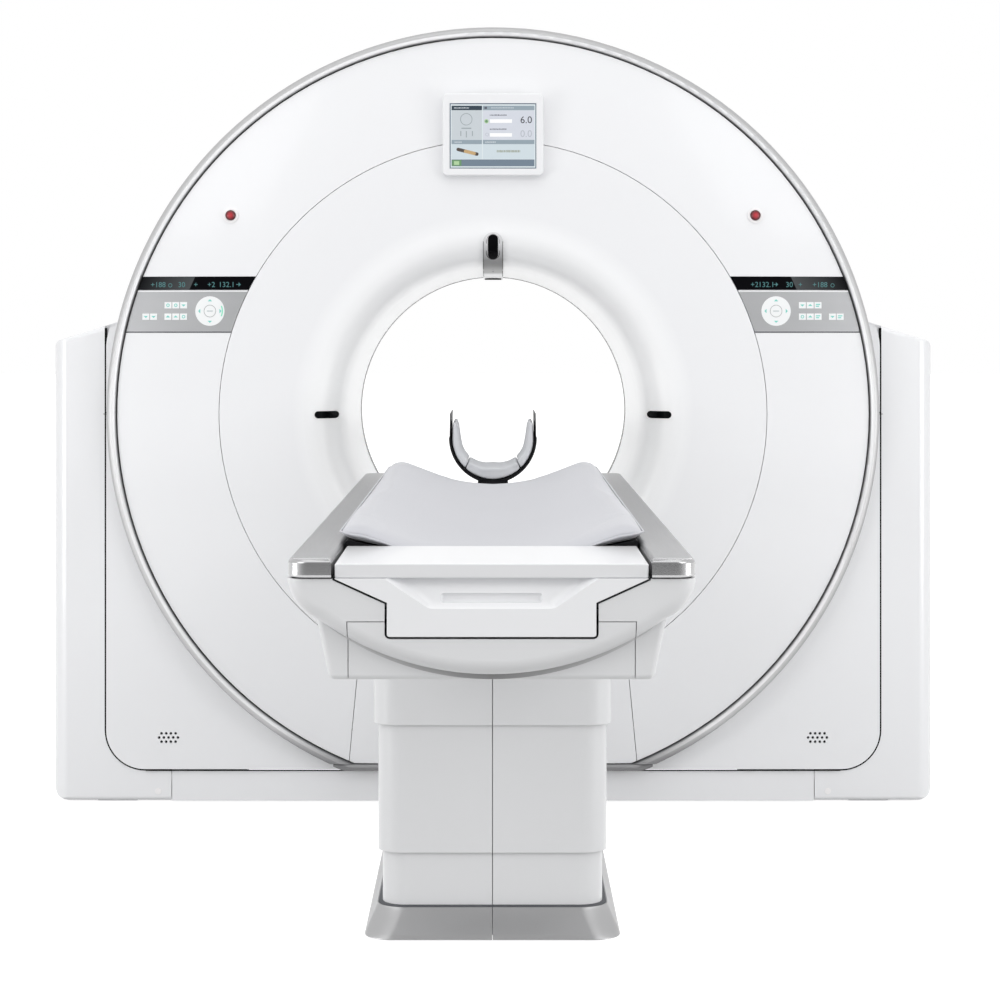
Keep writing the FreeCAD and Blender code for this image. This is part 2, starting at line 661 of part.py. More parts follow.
def saddle():
    """The right-hand saddle that carries the barrel."""
    foot_z, top_z = 38.0, 960.0
    past = (-200.0, 200.0)
    stand = plate((640.0, foot_z), [(WIDE[1], foot_z), (WIDE[1], top_z), (900.0, top_z), (640.0, 400.0)],
                  (-150.0, 150.0))
    return stand.cut([drum(BARREL_R + 0.2, past), peg(900.0, 190.0, 70.0, past)])


def stator_frame():
    """The fixed barrel with its bearing plate and the two rings that carry the covers."""
    b = BARREL_R
    inner = b - 8.0
    flange_r = DRUM_R - CASING_WALL - 0.5
    end, ring_out, ring_in = 335.0, 320.0, 312.0
    disc = (120.0, 160.0)
    form = turned((inner, -end),
                  [(b, -end), (b, -ring_out), (flange_r, -ring_out), (flange_r, -ring_in), (b, -ring_in),
                   (b, ring_in), (flange_r, ring_in), (flange_r, ring_out), (b, ring_out), (b, end),
                   (inner, end), (inner, disc[1]), (BEARING_FIT_R, disc[1]), (BEARING_FIT_R, disc[0]),
                   (inner, disc[0])])
    low = block((-400.0, 400.0), (-400.0, 400.0), (0.0, ISO_Z - b + 1.0))
    return form.cut([low.cut(drum(b, (-401.0, 401.0)))])


def rotor_drum():
    """The turning plate with its rim and the hub through the bearing."""
    front, back = ROTOR_PLATE_Y
    rim_in = ROTOR_R - 12.0
    form = turned((ROTOR_IN_R, front),
                  [(rim_in, front), (rim_in, ROTOR_RIM_Y), (ROTOR_R, ROTOR_RIM_Y), (ROTOR_R, back),
                   (HUB_R, back), (HUB_R, SLIP_RING_Y[0]), (ROTOR_IN_R, SLIP_RING_Y[0])])
    circle_r, hole_r, count = 770.0, 55.0, 8
    holes = []
    for i in range(count):
        angle = math.tau * (i + 0.5) / count
        holes.append(peg(circle_r * math.cos(angle), ISO_Z + circle_r * math.sin(angle), hole_r,
                         (front - 10.0, back + 10.0)))
    return form.cut(holes)


def bearing_inner_race():
    r, mid = INNER_RACE_R, BEARING_MID_Y
    front, back = BEARING_Y
    deep, half = RACE_GROOVE
    return turned((HUB_R, front), [(r, front), (r, mid - half), ((r - deep, mid), (r, mid + half)),
                                   (r, back), (HUB_R, back)])


def bearing_outer_race():
    r, mid = OUTER_RACE_R, BEARING_MID_Y
    front, back = BEARING_Y
    deep, half = RACE_GROOVE
    return turned((BEARING_FIT_R, front), [(BEARING_FIT_R, back), (r, back), (r, mid + half),
                                           ((r + deep, mid), (r, mid - half)), (r, front)])


def drive_coil_ring():
    return ring(ROTOR_R + 10.0, BARREL_R - 8.0, (-40.0, 60.0))


def slip_ring():
    """The contact disc behind the bearing, with three grooved tracks."""
    front, back = SLIP_RING_Y
    half, deep = TRACK
    outline = [(SLIP_RING_R, front), (SLIP_RING_R, back)]
    for r in reversed(SLIP_TRACKS):
        outline += [(r + half, back), (r + half, back - deep), (r - half, back - deep), (r - half, back)]
    return turned((ROTOR_IN_R, front), outline + [(ROTOR_IN_R, back)])


def xray_tube():
    """The tube housing with its end caps, fixed to the turning plate above the bore."""
    z = ISO_Z + FOCUS_UP + XRAY_TUBE_RISE
    front, back = -150.0, 20.0
    body = peg(0.0, z, 104.0, (front, back))
    return body.fuse([peg(0.0, z, 80.0, (front - 35.0, front)), peg(0.0, z, 86.0, (back, ROTOR_PLATE_Y[0]))])


def collimator():
    """A tapered box that widens from the tube's window towards the bore."""
    back = ROTOR_PLATE_Y[0]
    wires = []
    for half, front, rise in ((40.0, -35.0, FOCUS_UP), (115.0, -60.0, 425.0)):
        face = closed_face((-half, front), [(half, front), (half, back), (-half, back)],
                           lambda p: V(p[0], p[1], ISO_Z + rise))
        wires.append(face.OuterWire)
    return Part.makeLoft(wires, True, True)


def detector_arc():
    """The detector bank, an arc about the tube's focus below the bore."""
    focus_z = ISO_Z + FOCUS_UP
    front, back = -90.0, ROTOR_PLATE_Y[0]
    outer = FOCUS_DETECTOR + 80.0
    face = closed_face((FOCUS_DETECTOR, front), [(outer, front), (outer, back), (FOCUS_DETECTOR, back)],
                       lambda p: V(p[0], p[1], focus_z))
    face.rotate(V(0, 0, focus_z), V(0, 1, 0), 90.0 - FAN_HALF_DEG)
    return face.revolve(V(0, 0, focus_z), V(0, 1, 0), 2 * FAN_HALF_DEG)


def hv_generator():
    """The high voltage unit beside the tube, with a terminal box on top."""
    top = ISO_Z + UNIT_HALF_Z
    unit = block((-UNIT_X[1], -UNIT_X[0]), UNIT_Y, (ISO_Z - UNIT_HALF_Z, top))
    return unit.fuse(block((-790.0, -640.0), (-150.0, 20.0), (top, top + 65.0)))


def cooling_unit():
    """The heat exchanger opposite, with fan openings in its face."""
    unit = block(UNIT_X, UNIT_Y, (ISO_Z - UNIT_HALF_Z, ISO_Z + UNIT_HALF_Z))
    middle = (UNIT_X[0] + UNIT_X[1]) / 2
    fan_r, fan_z = 58.0, 70.0
    depth = (UNIT_Y[0] - 10.0, UNIT_Y[0] + 30.0)
    return unit.cut([peg(middle, ISO_Z + dz, fan_r, depth) for dz in (-fan_z, fan_z)])


# --- couch column ---

def sleeve_size(stage):
    """Half width and depth range of a sleeve, counted from the innermost."""
    grow = stage * SLEEVE_STEP
    return SLEEVE_HALF + grow, (COLUMN_Y[0] - grow, COLUMN_Y[1] + grow)


def column_sleeve(stage):
    """One telescoping sleeve in its two halves, split along the middle seam."""
    half, y = sleeve_size(stage)
    outer = rounded_prism(half, y, SLEEVE_CORNER, SLEEVE_Z[stage])
    inner = rounded_prism(half - SLEEVE_WALL, (y[0] + SLEEVE_WALL, y[1] - SLEEVE_WALL),
                          SLEEVE_CORNER - SLEEVE_WALL, (0.0, 800.0))
    seam = block((-0.5, 0.5), (-2000.0, -600.0), (0.0, 800.0))
    return outer.cut([inner, seam])


def base_skirt():
    """The flared silver skirt at the floor in its two halves."""
    rows = ((2.0, 251.0), (13.0, 249.5), (22.0, 243.0), (36.0, 234.5), (58.0, 228.5))
    outer, inner = [], []
    for z, half in rows:
        grow = half - SLEEVE_HALF
        y = (COLUMN_Y[0] - 1.55 * grow, COLUMN_Y[1] + 1.9 * grow)
        outer.append(rounded_outline(half, y, SLEEVE_CORNER + 6.0, z).OuterWire)
        inner.append(rounded_outline(half - 4.0, (y[0] + 5.0, y[1] - 5.0), SLEEVE_CORNER + 2.0, z).OuterWire)
    shell = Part.makeLoft(outer, True, True).cut(Part.makeLoft(inner, True, True))
    return shell.cut(block((-0.5, 0.5), (-2000.0, -600.0), (0.0, 100.0)))


def couch_base_plate():
    """The floor plate under the column, with its anchor holes."""
    half, y = sleeve_size(0)
    base = rounded_prism(half, y, SLEEVE_CORNER, (0.0, PLATE_TOP_Z))
    for dx in (-COUCH_ANCHOR[0], COUCH_ANCHOR[0]):
        for dy in (-COUCH_ANCHOR[1], COUCH_ANCHOR[1]):
            base = base.cut(Part.makeCylinder(ANCHOR_HOLE_R, 30.0, V(dx, COLUMN_MID_Y + dy, -5.0)))
    return base


def lift_tube(stage):
    """A square tube of the telescoping lift."""
    half = TUBE_HALF[stage]
    inner = half - TUBE_WALL
    z = TUBE_Z[stage]
    y = COLUMN_MID_Y
    tube = block((-half, half), (y - half, y + half), z)
    return tube.cut(block((-inner, inner), (y - inner, y + inner), (z[0] - 1.0, z[1] + 1.0)))


# --- couch body ---

def handle_outline(grow, top_z):
    """The outline of the handle panel below the cap, grown by the gap round it."""
    shoulder_x = CAP_HALF + grow
    low = NECK_LOW_Z - grow
    x = NECK_HALF + grow
    r = NECK_CORNER + grow
    c = r * (1 - math.sqrt(0.5))
    knee_z = NECK_Z - 0.6 * grow
    right = [(x, knee_z), (shoulder_x, CAP_Z[0] - 0.6 * grow), (shoulder_x, top_z)]
    left = [(-shoulder_x, top_z), (-shoulder_x, CAP_Z[0] - 0.6 * grow), (-x, knee_z), (-x, low + r),
            ((c - x, low + c), (r - x, low))]
    return ((r - x, low), [(x - r, low), ((x - c, low + c), (x, low + r))] + right + left)


def hull_form(inset):
    """The hull's outside, or the space inside it: a bowl section over a narrower tapered box."""
    x = COUCH_HALF + 1.0 - inset
    top = HULL_RIM_Z + inset
    low = HULL_LOW_Z + inset
    side = (x - 44.0, 763.0 + inset)
    turn = (x - 13.0, 787.5 + 0.7 * inset)
    keel = (0.0, 680.0 + inset)
    bowl = plate((x, top), [(turn, side), (keel, (-side[0], side[1])), ((-turn[0], turn[1]), (-x, top))],
                 (BOWL_Y[0] + inset, BOWL_Y[1] - inset))
    wide = x - 39.3
    narrow = x - 61.0
    join_z = 775.0
    box = plate((wide, join_z), [(narrow, low), (-narrow, low), (-wide, join_z)],
                (BOX_Y[0] + inset, BOX_Y[1] - inset))
    return bowl.fuse(box)


def hull_openings():
    """What is cut from the hull: the travel slot, the head end's slot and the column's way in."""
    slot = plate(*handle_outline(TRAVEL_GAP, 900.0), (-3000.0, -2900.0))
    head = block((-272.0, 272.0), (-810.0, -730.0), (768.0, 900.0))
    half, y = sleeve_size(1)
    column = rounded_prism(half + SEAM, (y[0] - SEAM, y[1] + SEAM), SLEEVE_CORNER, (650.0, 700.0))
    return [slot, head, column]


def hull_shell():
    return hull_form(0.0).cut([hull_form(HULL_WALL)] + hull_openings())


def foot_panel_space(gap):
    """The part of the foot end that lifts off to reach the mechanism."""
    half, rear, top = FOOT_PANEL
    return block((-half - gap, half + gap), (-3000.0, rear + gap), (600.0, top + gap))


def hull_cover():
    return hull_shell().cut(foot_panel_space(1.0))


def foot_access_panel():
    return hull_shell().common(foot_panel_space(0.0))


def side_rail():
    """The silver rail on the right, with the web that stands on the carriage."""
    low, high = RAIL_Z
    x = COUCH_HALF
    y = (COUCH_NEAR_Y, COUCH_FAR_Y)
    web = (270.0, 282.0)
    web_low = 797.2
    rail = plate((RAIL_IN_X, low), [(web[0], low), (web[0], web_low), (web[1], web_low), (web[1], low),
                                    (x - 10.0, low), ((x - 2.6, low + 3.6), (x, low + 12.0)), (x, high - 9.0),
                                    ((x - 2.6, high - 2.6), (x - 9.0, high)), (RAIL_IN_X, high)], y)
    beside = (web[0] - 10.0, web[1] + 10.0)
    ends = [block(beside, (y[0] - 1.0, y[0] + 60.0), (web_low - 7.0, low)),
            block(beside, (y[1] - 40.0, y[1] + 1.0), (web_low - 7.0, low))]
    return rail.cut(ends)


def carriage_frame():
    """The ladder frame in the hull, its column plate and the innermost lift tube."""
    beam = (190.0, 248.0)
    beam_z = (757.0, 797.0)
    rung = 40.0
    rung_low = 690.0
    plate_z = (700.0, 725.0)
    web_y = (COLUMN_Y[0] + SLEEVE_CORNER, COLUMN_Y[1] - SLEEVE_CORNER)
    plate_half = 214.0
    rungs = [(start, start + rung) for start in (-2860.0, -2320.0, -870.0)]
    right = [block(beam, (-2930.0, -805.0), beam_z),
             block((beam[1], 283.0), (-2920.0, -815.0), (790.0, beam_z[1])),
             block((beam[0], plate_half), web_y, (plate_z[1], beam_z[0]))]
    for y in rungs:
        right.append(block((beam[0], 233.0), y, (rung_low, beam_z[0])))
    parts = right + [mirrored(piece) for piece in right]
    for y in rungs:
        parts.append(block((-beam[0], beam[0]), y, (rung_low, rung_low + 25.0)))
    column_plate = rounded_prism(plate_half, (COLUMN_Y[0] + 4.0, COLUMN_Y[1] - 4.0), 40.0, plate_z)
    return column_plate.fuse(parts + [lift_tube(2)]).removeSplitter()


def linear_rails():
    """The two guide rails that the sledge runs on."""
    low, high = 797.0, 811.0
    rail = plate((236.0, low), [(262.0, low), (262.0, low + 3.0), (256.0, low + 6.0), (256.0, high),
                                (242.0, high), (242.0, low + 6.0), (236.0, low + 3.0)], (-2925.0, -810.0))
    return Part.makeCompound(on_both_sides(rail))


# --- cradle ---

def trough_steps(lift, edge):
    """The trough's curve from left edge to right, raised by lift, and its wings out to (x, z)."""
    half, side_z, mid_z = TROUGH
    x, z = edge
    return (-x, z), [(-half, side_z + lift), ((0.0, mid_z + lift), (half, side_z + lift)), (x, z)]


def cradle_section(y):
    """The cradle's U-shaped section as a plate."""
    x = CRADLE_HALF
    start, top = trough_steps(0.0, (x - 2.5, 856.0))
    under = [(x, 853.5), (x, 848.0), (178.0, 827.0), ((0.0, 790.0), (-178.0, 827.0)),
             (-x, 848.0), (-x, 853.5)]
    return plate(start, top + under, y)


def cradle_shell():
    """The carbon tray with the socket for the head holder in its end."""
    socket = block((-60.4, 60.4), (-802.0, -700.0), SOCKET_Z)
    return cradle_section(CRADLE_Y).cut(socket)


def mattress_pad():
    """The pad: a crowned section that follows the trough, drawn in at both ends."""
    rows = ((CRADLE_Y[0] + 6.0, 0.90, 0.55), (CRADLE_Y[0] + 14.0, 0.985, 0.9), (CRADLE_Y[0] + 60.0, 1.0, 1.0),
            (-2100.0, 0.992, 1.0), (-1400.0, 0.992, 1.0), (CRADLE_Y[1] - 60.0, 1.0, 1.0),
            (CRADLE_Y[1] - 14.0, 0.985, 0.9), (CRADLE_Y[1] - 6.0, 0.90, 0.55))
    wires = []
    for y, width, thick in rows:
        half, side_z, mid_z = TROUGH
        h = PAD_THICK * thick
        edge = 243.0 * width
        start = (-half, side_z + 0.3)
        steps = [((0.0, mid_z + 0.3), (half, side_z + 0.3)), (229.0 * width, 857.2),
                 ((edge, 857.8 + 0.5 * h), (226.0 * width, 857.8 + 0.95 * h)),
                 ((200.0 * width, 856.5 + h), (half, side_z + 1.05 * h)),
                 ((0.0, mid_z + h), (-half, side_z + 1.05 * h)),
                 ((-200.0 * width, 856.5 + h), (-226.0 * width, 857.8 + 0.95 * h)),
                 ((-edge, 857.8 + 0.5 * h), (-229.0 * width, 857.2))]
        wires.append(closed_face(start, steps, lambda p: V(p[0], y, p[1])).OuterWire)
    return Part.makeLoft(wires, True, True)


def sledge():
    """The runner block under the cradle's foot end, with its lugs over the guide rails."""
    y = (-2938.0, -2320.0)
    body = block((-184.0, 184.0), y, (775.0, 801.0)).fuse([
        block((-232.0, 232.0), y, (801.0, 845.0)), block((-266.0, 266.0), y, (812.0, 822.5))])
    x = CRADLE_HALF + 0.5
    above = plate((-x, 900.0), [(-x, 847.9), (-178.0, 826.7), ((0.0, 789.7), (178.0, 826.7)),
                                (x, 847.9), (x, 900.0)], (CRADLE_Y[0] - 1.0, y[1] + 20.0))
    step = block((-x, x), (y[0] - 1.0, CRADLE_Y[0] - 1.0), (CAP_Z[0] - 0.5, 900.0))
    return body.cut([above, step]).removeSplitter()


def cradle_cap():
    """The white cap across the foot end, its front face leaning in."""
    low, high = CAP_Z
    outline = [(CAP_FAR_Y, low), (CAP_FAR_Y, high), (COUCH_NEAR_Y, high)]
    side = closed_face((COUCH_NEAR_Y + CAP_LEAN, low), outline, lambda p: V(-CAP_HALF, p[0], p[1]))
    body = side.extrude(V(2 * CAP_HALF, 0, 0))
    return round_edges(body, 3.0, lambda p: p.z > high - 0.1 and p.y < CAP_FAR_Y - 1.0)


def handle_panel():
    """The panel below the cap with its hand scoop, whose floor slopes in towards the top."""
    front = HANDLE_Y[0]
    body = plate(*handle_outline(0.0, CAP_Z[0]), HANDLE_Y)
    above = CAP_Z[0] + 1.0
    wide, narrow, low = SCOOP_MOUTH
    mouth = closed_face((-wide, above), [(wide, above), (narrow, low), (-narrow, low)],
                        lambda p: V(p[0], front - 0.1, p[1]))
    wide, narrow, low = SCOOP_FLOOR
    deep, lip = SCOOP_DEPTH
    lean = (deep - lip) / (above - low)
    floor = closed_face((-wide, above), [(wide, above), (narrow, low), (-narrow, low)],
                        lambda p: V(p[0], front + lip + lean * (p[1] - low), p[1]))
    scoop = Part.makeLoft([mouth.OuterWire, floor.OuterWire], True, True)
    grip = block((-GRIP_HALF, GRIP_HALF), (front + GRIP_DEPTH[0], front + GRIP_DEPTH[1]), GRIP_Z)
    return body.cut([scoop, grip])


def holder_outline(r, top_z, low_z):
    """A U from top_z down round the bottom, flattened at low_z."""
    drop = math.sqrt(r * r - (HOLDER_Z - low_z) ** 2)
    across, down = r * math.cos(math.radians(40.0)), r * math.sin(math.radians(40.0))
    right = ((across, HOLDER_Z - down), (r, HOLDER_Z))
    left = ((-across, HOLDER_Z - down), (-drop, low_z))
    return ((-drop, low_z), [(drop, low_z), right, (r, top_z), (-r, top_z), (-r, HOLDER_Z), left])


def head_holder():
    """The U-shaped head support with the tongue that plugs into the cradle."""
    thin, thick = 3.0, 7.0
    low = HOLDER_LOW_Z
    shell = plate(*holder_outline(HOLDER_R, HOLDER_TOP_Z, low), HOLDER_Y)
    inside = plate(*holder_outline(HOLDER_R - thin, HOLDER_TOP_Z + 10.0, low + thick), HOLDER_SPACE)
    fit = 0.3
    stem = block((-45.0, 45.0), (-718.0, -640.0), (SOCKET_Z[0] + fit, low + 1.0))
    tongue = block((-60.0, 60.0), (-800.0, -690.0), (SOCKET_Z[0] + fit, SOCKET_Z[1] - fit))
    return shell.cut(inside).fuse([stem, tongue]).removeSplitter()


def head_liner():
    """The soft lining of the holder, in three pads."""
    r = HOLDER_R - 3.3
    y = (HOLDER_Y[0] + 4.0, HOLDER_Y[1] - 4.0)
    low = HOLDER_LOW_Z + 7.3
    pad = plate(*holder_outline(r, HOLDER_TOP_Z - 13.0, low), y)
    inside = plate(*holder_outline(r - 9.0, HOLDER_TOP_Z + 10.0, low + 10.7), HOLDER_SPACE)
    split_deg = 38.0
    splits = []
    for side in (-1, 1):
        cut = block((-0.8, 0.8), HOLDER_SPACE, (-140.0, -40.0))
        cut.rotate(V(0, 0, 0), V(0, 1, 0), -side * split_deg)
        cut.translate(V(0, 0, HOLDER_Z))
        splits.append(cut)
    return pad.cut([inside] + splits)


NODES = {
    "gantry_base_frame": gantry_base_frame,
    "stator_frame": stator_frame,
    "bearing_outer_race": bearing_outer_race,
    "drive_coil_ring": drive_coil_ring,
    "front_disc_cover": front_disc_cover,
    "outer_front_cover": outer_front_cover,
    "lower_centre_panel": lower_centre_panel,
    "ring_trim": ring_trim,
    "upper_corner_panels": upper_corner_panels,
    "lower_corner_panel_right": lower_corner_panel,
    "lower_corner_panel_left": lambda: mirrored(lower_corner_panel()),
    "tower_cover_right": tower_cover,
    "tower_cover_left": lambda: mirrored(tower_cover()),
    "base_strip": base_strip,
    "drum_cover": drum_cover,
    "rear_disc_cover": lambda: to_the_rear(disc_cover()),
    "rear_outer_cover": rear_outer_cover,
    "rear_lower_cover": rear_lower_cover,
    "scan_window": scan_window,
    "display_housing": display_housing,
    "display_screen": display_screen,
    "laser_module": laser_module,
    "laser_windows": laser_windows,
    "laser_bezels": laser_bezels,
    "control_panel_right": control_panel,
    "control_panel_left": lambda: mirrored(control_panel()),
    "readouts": readouts,
    "keypads": keypads,
    "estop_collars": estop_collars,
    "estop_button_left": lambda: estop_button(-1),
    "estop_button_right": lambda: estop_button(1),
    "speakers": speakers,
    "rotor_drum": rotor_drum,
    "bearing_inner_race": bearing_inner_race,
    "slip_ring": slip_ring,
    "xray_tube": xray_tube,
    "collimator": collimator,
    "detector_arc": detector_arc,
    "hv_generator": hv_generator,
    "cooling_unit": cooling_unit,
    "couch_base_plate": couch_base_plate,
    "base_skirt": base_skirt,
    "lower_sleeve": lambda: column_sleeve(0),
    "middle_sleeve": lambda: column_sleeve(1),
    "upper_sleeve": lambda: column_sleeve(2),
    "lift_outer_tube": lambda: lift_tube(0),
    "lift_middle_tube": lambda: lift_tube(1),
    "carriage_frame": carriage_frame,
    "linear_rails": linear_rails,
    "hull_cover": hull_cover,
    "foot_access_panel": foot_access_panel,
    "side_rail_right": side_rail,
    "side_rail_left": lambda: mirrored(side_rail()),
    "cradle_shell": cradle_shell,
    "sledge": sledge,
    "cradle_cap": cradle_cap,
    "handle_panel": handle_panel,
    "mattress_pad": mattress_pad,
    "head_holder": head_holder,
    "head_liner": head_liner,
}


def main():
    os.makedirs("parts", exist_ok=True)
    for name, make in NODES.items():
        shape = make()
        solids = len(shape.Solids)
        shape.exportStep(os.path.join("parts", name + ".step"))
        print(f"{name:26s} {solids:3d} solids  {shape.Volume / 1e6:9.3f} litres  valid {shape.isValid()}")


main()
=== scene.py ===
# %% [markdown]
# # The looks of a ct scanner
# The construction model is loaded first and never moved: a round gantry with its bore, two side towers and
# a couch on a telescoping column. This lesson then gives every piece a finish, and models again the pieces
# whose edges, folds or markings show from where the photographer stood.

# %% The frame
import json
import math
import random

import bmesh
import bpy
from mathutils import Matrix, Vector
from mathutils.bvhtree import BVHTree


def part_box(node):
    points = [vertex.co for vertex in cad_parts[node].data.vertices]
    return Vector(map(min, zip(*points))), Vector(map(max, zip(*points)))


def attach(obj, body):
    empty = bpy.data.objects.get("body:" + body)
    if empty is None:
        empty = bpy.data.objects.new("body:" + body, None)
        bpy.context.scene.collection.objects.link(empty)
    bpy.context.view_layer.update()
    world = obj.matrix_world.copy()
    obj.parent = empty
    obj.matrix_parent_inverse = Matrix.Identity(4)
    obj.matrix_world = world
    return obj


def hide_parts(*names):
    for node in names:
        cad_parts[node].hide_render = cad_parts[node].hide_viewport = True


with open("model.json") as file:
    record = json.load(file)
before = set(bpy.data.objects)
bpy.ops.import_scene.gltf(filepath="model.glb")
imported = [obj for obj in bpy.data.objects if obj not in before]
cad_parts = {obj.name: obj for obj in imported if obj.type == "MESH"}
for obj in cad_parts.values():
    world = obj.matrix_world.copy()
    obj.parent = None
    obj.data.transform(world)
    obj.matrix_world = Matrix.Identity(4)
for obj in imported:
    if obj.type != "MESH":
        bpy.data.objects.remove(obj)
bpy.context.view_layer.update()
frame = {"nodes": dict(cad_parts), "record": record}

nodes = frame["nodes"]
MM = 0.001

# %% [markdown]
# ## Camera
# The picture was taken from well back, level with the upper edge of the bore, so the upright lines stay
# parallel. A long lens does the same, and a small shift brings the floor into the picture without tilting.

# %% The camera
CAMERA_PLACE = (0.005, -6.685, 1.192)
LENS = 90.5
SHIFT = (0.005, -0.1705)

camera = bpy.data.objects.new("camera", bpy.data.cameras.new("camera"))
bpy.context.scene.collection.objects.link(camera)
camera.location = CAMERA_PLACE
camera.rotation_euler = (math.radians(90), 0, 0)
camera.data.lens = LENS
camera.data.sensor_width = 36.0
camera.data.shift_x, camera.data.shift_y = SHIFT
camera.data.clip_end = 400
bpy.context.scene.camera = camera
bpy.context.scene.view_settings.view_transform = "Standard"
print("camera", LENS, "mm lens")

# %% [markdown]
# ## Studio
# A white machine on a white ground needs soft light from above and from both sides, so that its rounded
# edges turn grey. Polished metal shows the room as well: the wall behind the camera is dim and the walls
# at the sides are white, which gives the ring, the rails and the skirt dark faces and bright corners; the
# ring's tones and the rails' bright ends are also painted into their colour.
# The picture's own ground stays white, whatever the lamps do. The world and every finish are trees of nodes,
# so a few helpers come first: each adds one step to a tree and hands on its value.

# %% Values in a node tree
def opened(material):
    """A material's node tree and its shader."""
    return material.node_tree, material.node_tree.nodes["Principled BSDF"]


def axes(tree, kind="Object"):
    """The X, Y and Z of a point."""
    coords = tree.nodes.new("ShaderNodeTexCoord")
    split = tree.nodes.new("ShaderNodeSeparateXYZ")
    tree.links.new(coords.outputs[kind], split.inputs[0])
    return split.outputs


def arithmetic(tree, operation, first, second=0.0):
    """A math node of two inputs, each a socket or a number."""
    node = tree.nodes.new("ShaderNodeMath")
    node.operation = operation
    for slot, value in zip(node.inputs, (first, second)):
        if isinstance(value, float):
            slot.default_value = value
        else:
            tree.links.new(value, slot)
    return node.outputs[0]


def mapped(tree, value, start, end, low=0.0, high=1.0, curve="LINEAR"):
    """A value moved from one range to another and held at its ends."""
    node = tree.nodes.new("ShaderNodeMapRange")
    node.interpolation_type = curve
    for name, number in (("From Min", start), ("From Max", end), ("To Min", low), ("To Max", high)):
        node.inputs[name].default_value = number
    tree.links.new(value, node.inputs["Value"])
    return node.outputs[0]


print("value helpers", [f.__name__ for f in (opened, axes, arithmetic, mapped)])

# %% The world
WORLD_LIGHT = 0.84
DIM_WALL = 0.33
WALL_TURN = (-0.97, -0.45)


def background(tree, strength):
    """White of one strength."""
    node = tree.nodes.new("ShaderNodeBackground")
    node.inputs["Color"].default_value = (1, 1, 1, 1)
    node.inputs["Strength"].default_value = strength
    return node


def chosen(tree, factor, otherwise, when):
    """One of two shaders."""
    node = tree.nodes.new("ShaderNodeMixShader")
    for slot, source in zip(node.inputs, (factor, otherwise, when)):
        tree.links.new(source, slot)
    return node.outputs[0]


def rays(tree, *kinds):
    """A value of 1 for rays of any of these kinds and 0 for the rest."""
    path = tree.nodes.new("ShaderNodeLightPath")
    total = path.outputs[f"Is {kinds[0]} Ray"]
    for kind in kinds[1:]:
        total = arithmetic(tree, "MAXIMUM", total, path.outputs[f"Is {kind} Ray"])
    return total


world = bpy.data.worlds.new("studio")
bpy.context.scene.world = world
world.use_nodes = True
tree = world.node_tree
tree.nodes.clear()
walls = mapped(tree, axes(tree, "Generated")["Y"], *WALL_TURN, DIM_WALL, 1.0, "SMOOTHSTEP")
mirrored_room = background(tree, 1.0)
tree.links.new(walls, mirrored_room.inputs["Strength"])
plain_room = background(tree, WORLD_LIGHT).outputs[0]
seen = chosen(tree, rays(tree, "Glossy"), plain_room, mirrored_room.outputs[0])
seen = chosen(tree, rays(tree, "Camera", "Transmission"), seen, background(tree, 1.0).outputs[0])
world_out = tree.nodes.new("ShaderNodeOutputWorld")
tree.links.new(seen, world_out.inputs["Surface"])
print("world", WORLD_LIGHT)


# %% The lamps
def soft_lamp(name, place, aim, size, power):
    """A large rectangular lamp that looks at a point."""
    data = bpy.data.lights.new(name, "AREA")
    data.shape = "RECTANGLE"
    data.size, data.size_y = size
    data.energy = power
    lamp = bpy.data.objects.new(name, data)
    lamp.location = place
    lamp.rotation_euler = (Vector(aim) - Vector(place)).to_track_quat("-Z", "Y").to_euler()
    bpy.context.scene.collection.objects.link(lamp)


for side in (-1, 1):
    soft_lamp("front", (side * 3.2, -5.6, 3.7), (0, -1.0, 0.5), (2.6, 2.2), 38)
    soft_lamp("low", (side * 4.4, -3.6, 0.8), (side * 0.8, -0.4, 0.1), (1.8, 1.4), 50)
soft_lamp("top", (0, -3.2, 5.4), (0, -1.6, 0), (4.0, 2.6), 32)
soft_lamp("back", (0.5, 4.8, 3.4), (0, 0, 1.0), (3.5, 2.5), 50)

# %% The floor
FLOOR_HALF = 60.0
FLOOR_GLOW = 0.86

mesh = bpy.data.meshes.new("floor")
bm = bmesh.new()
bmesh.ops.create_grid(bm, x_segments=1, y_segments=1, size=FLOOR_HALF)
bm.to_mesh(mesh)
bm.free()
floor = bpy.data.objects.new("floor", mesh)
bpy.context.scene.collection.objects.link(floor)
floor_paint = bpy.data.materials.new("floor_paint")
floor_paint.use_nodes = True
tree, shader = opened(floor_paint)
for socket, value in (("Base Color", (0.43, 0.43, 0.43, 1)), ("Roughness", 0.9),
                      ("Specular IOR Level", 0.1)):
    shader.inputs[socket].default_value = value
glow = tree.nodes.new("ShaderNodeEmission")
glow.inputs["Strength"].default_value = FLOOR_GLOW
both = tree.nodes.new("ShaderNodeAddShader")
tree.links.new(shader.outputs[0], both.inputs[0])
tree.links.new(glow.outputs[0], both.inputs[1])
shown = chosen(tree, rays(tree, "Camera", "Transmission", "Glossy"), shader.outputs[0], both.outputs[0])
tree.links.new(shown, tree.nodes["Material Output"].inputs["Surface"])
mesh.materials.append(floor_paint)
print("floor", 2 * FLOOR_HALF, "m wide")

# %% [markdown]
# ## Finishes
# Moulded covers are never one flat colour: the paint has a faint mottle, a fine orange peel and places
# that are a little duller. One function makes these three from noise in object coordinates. Metals, cloth
# and carbon get a pattern of their own on top of it, made with the small helpers that come before it.

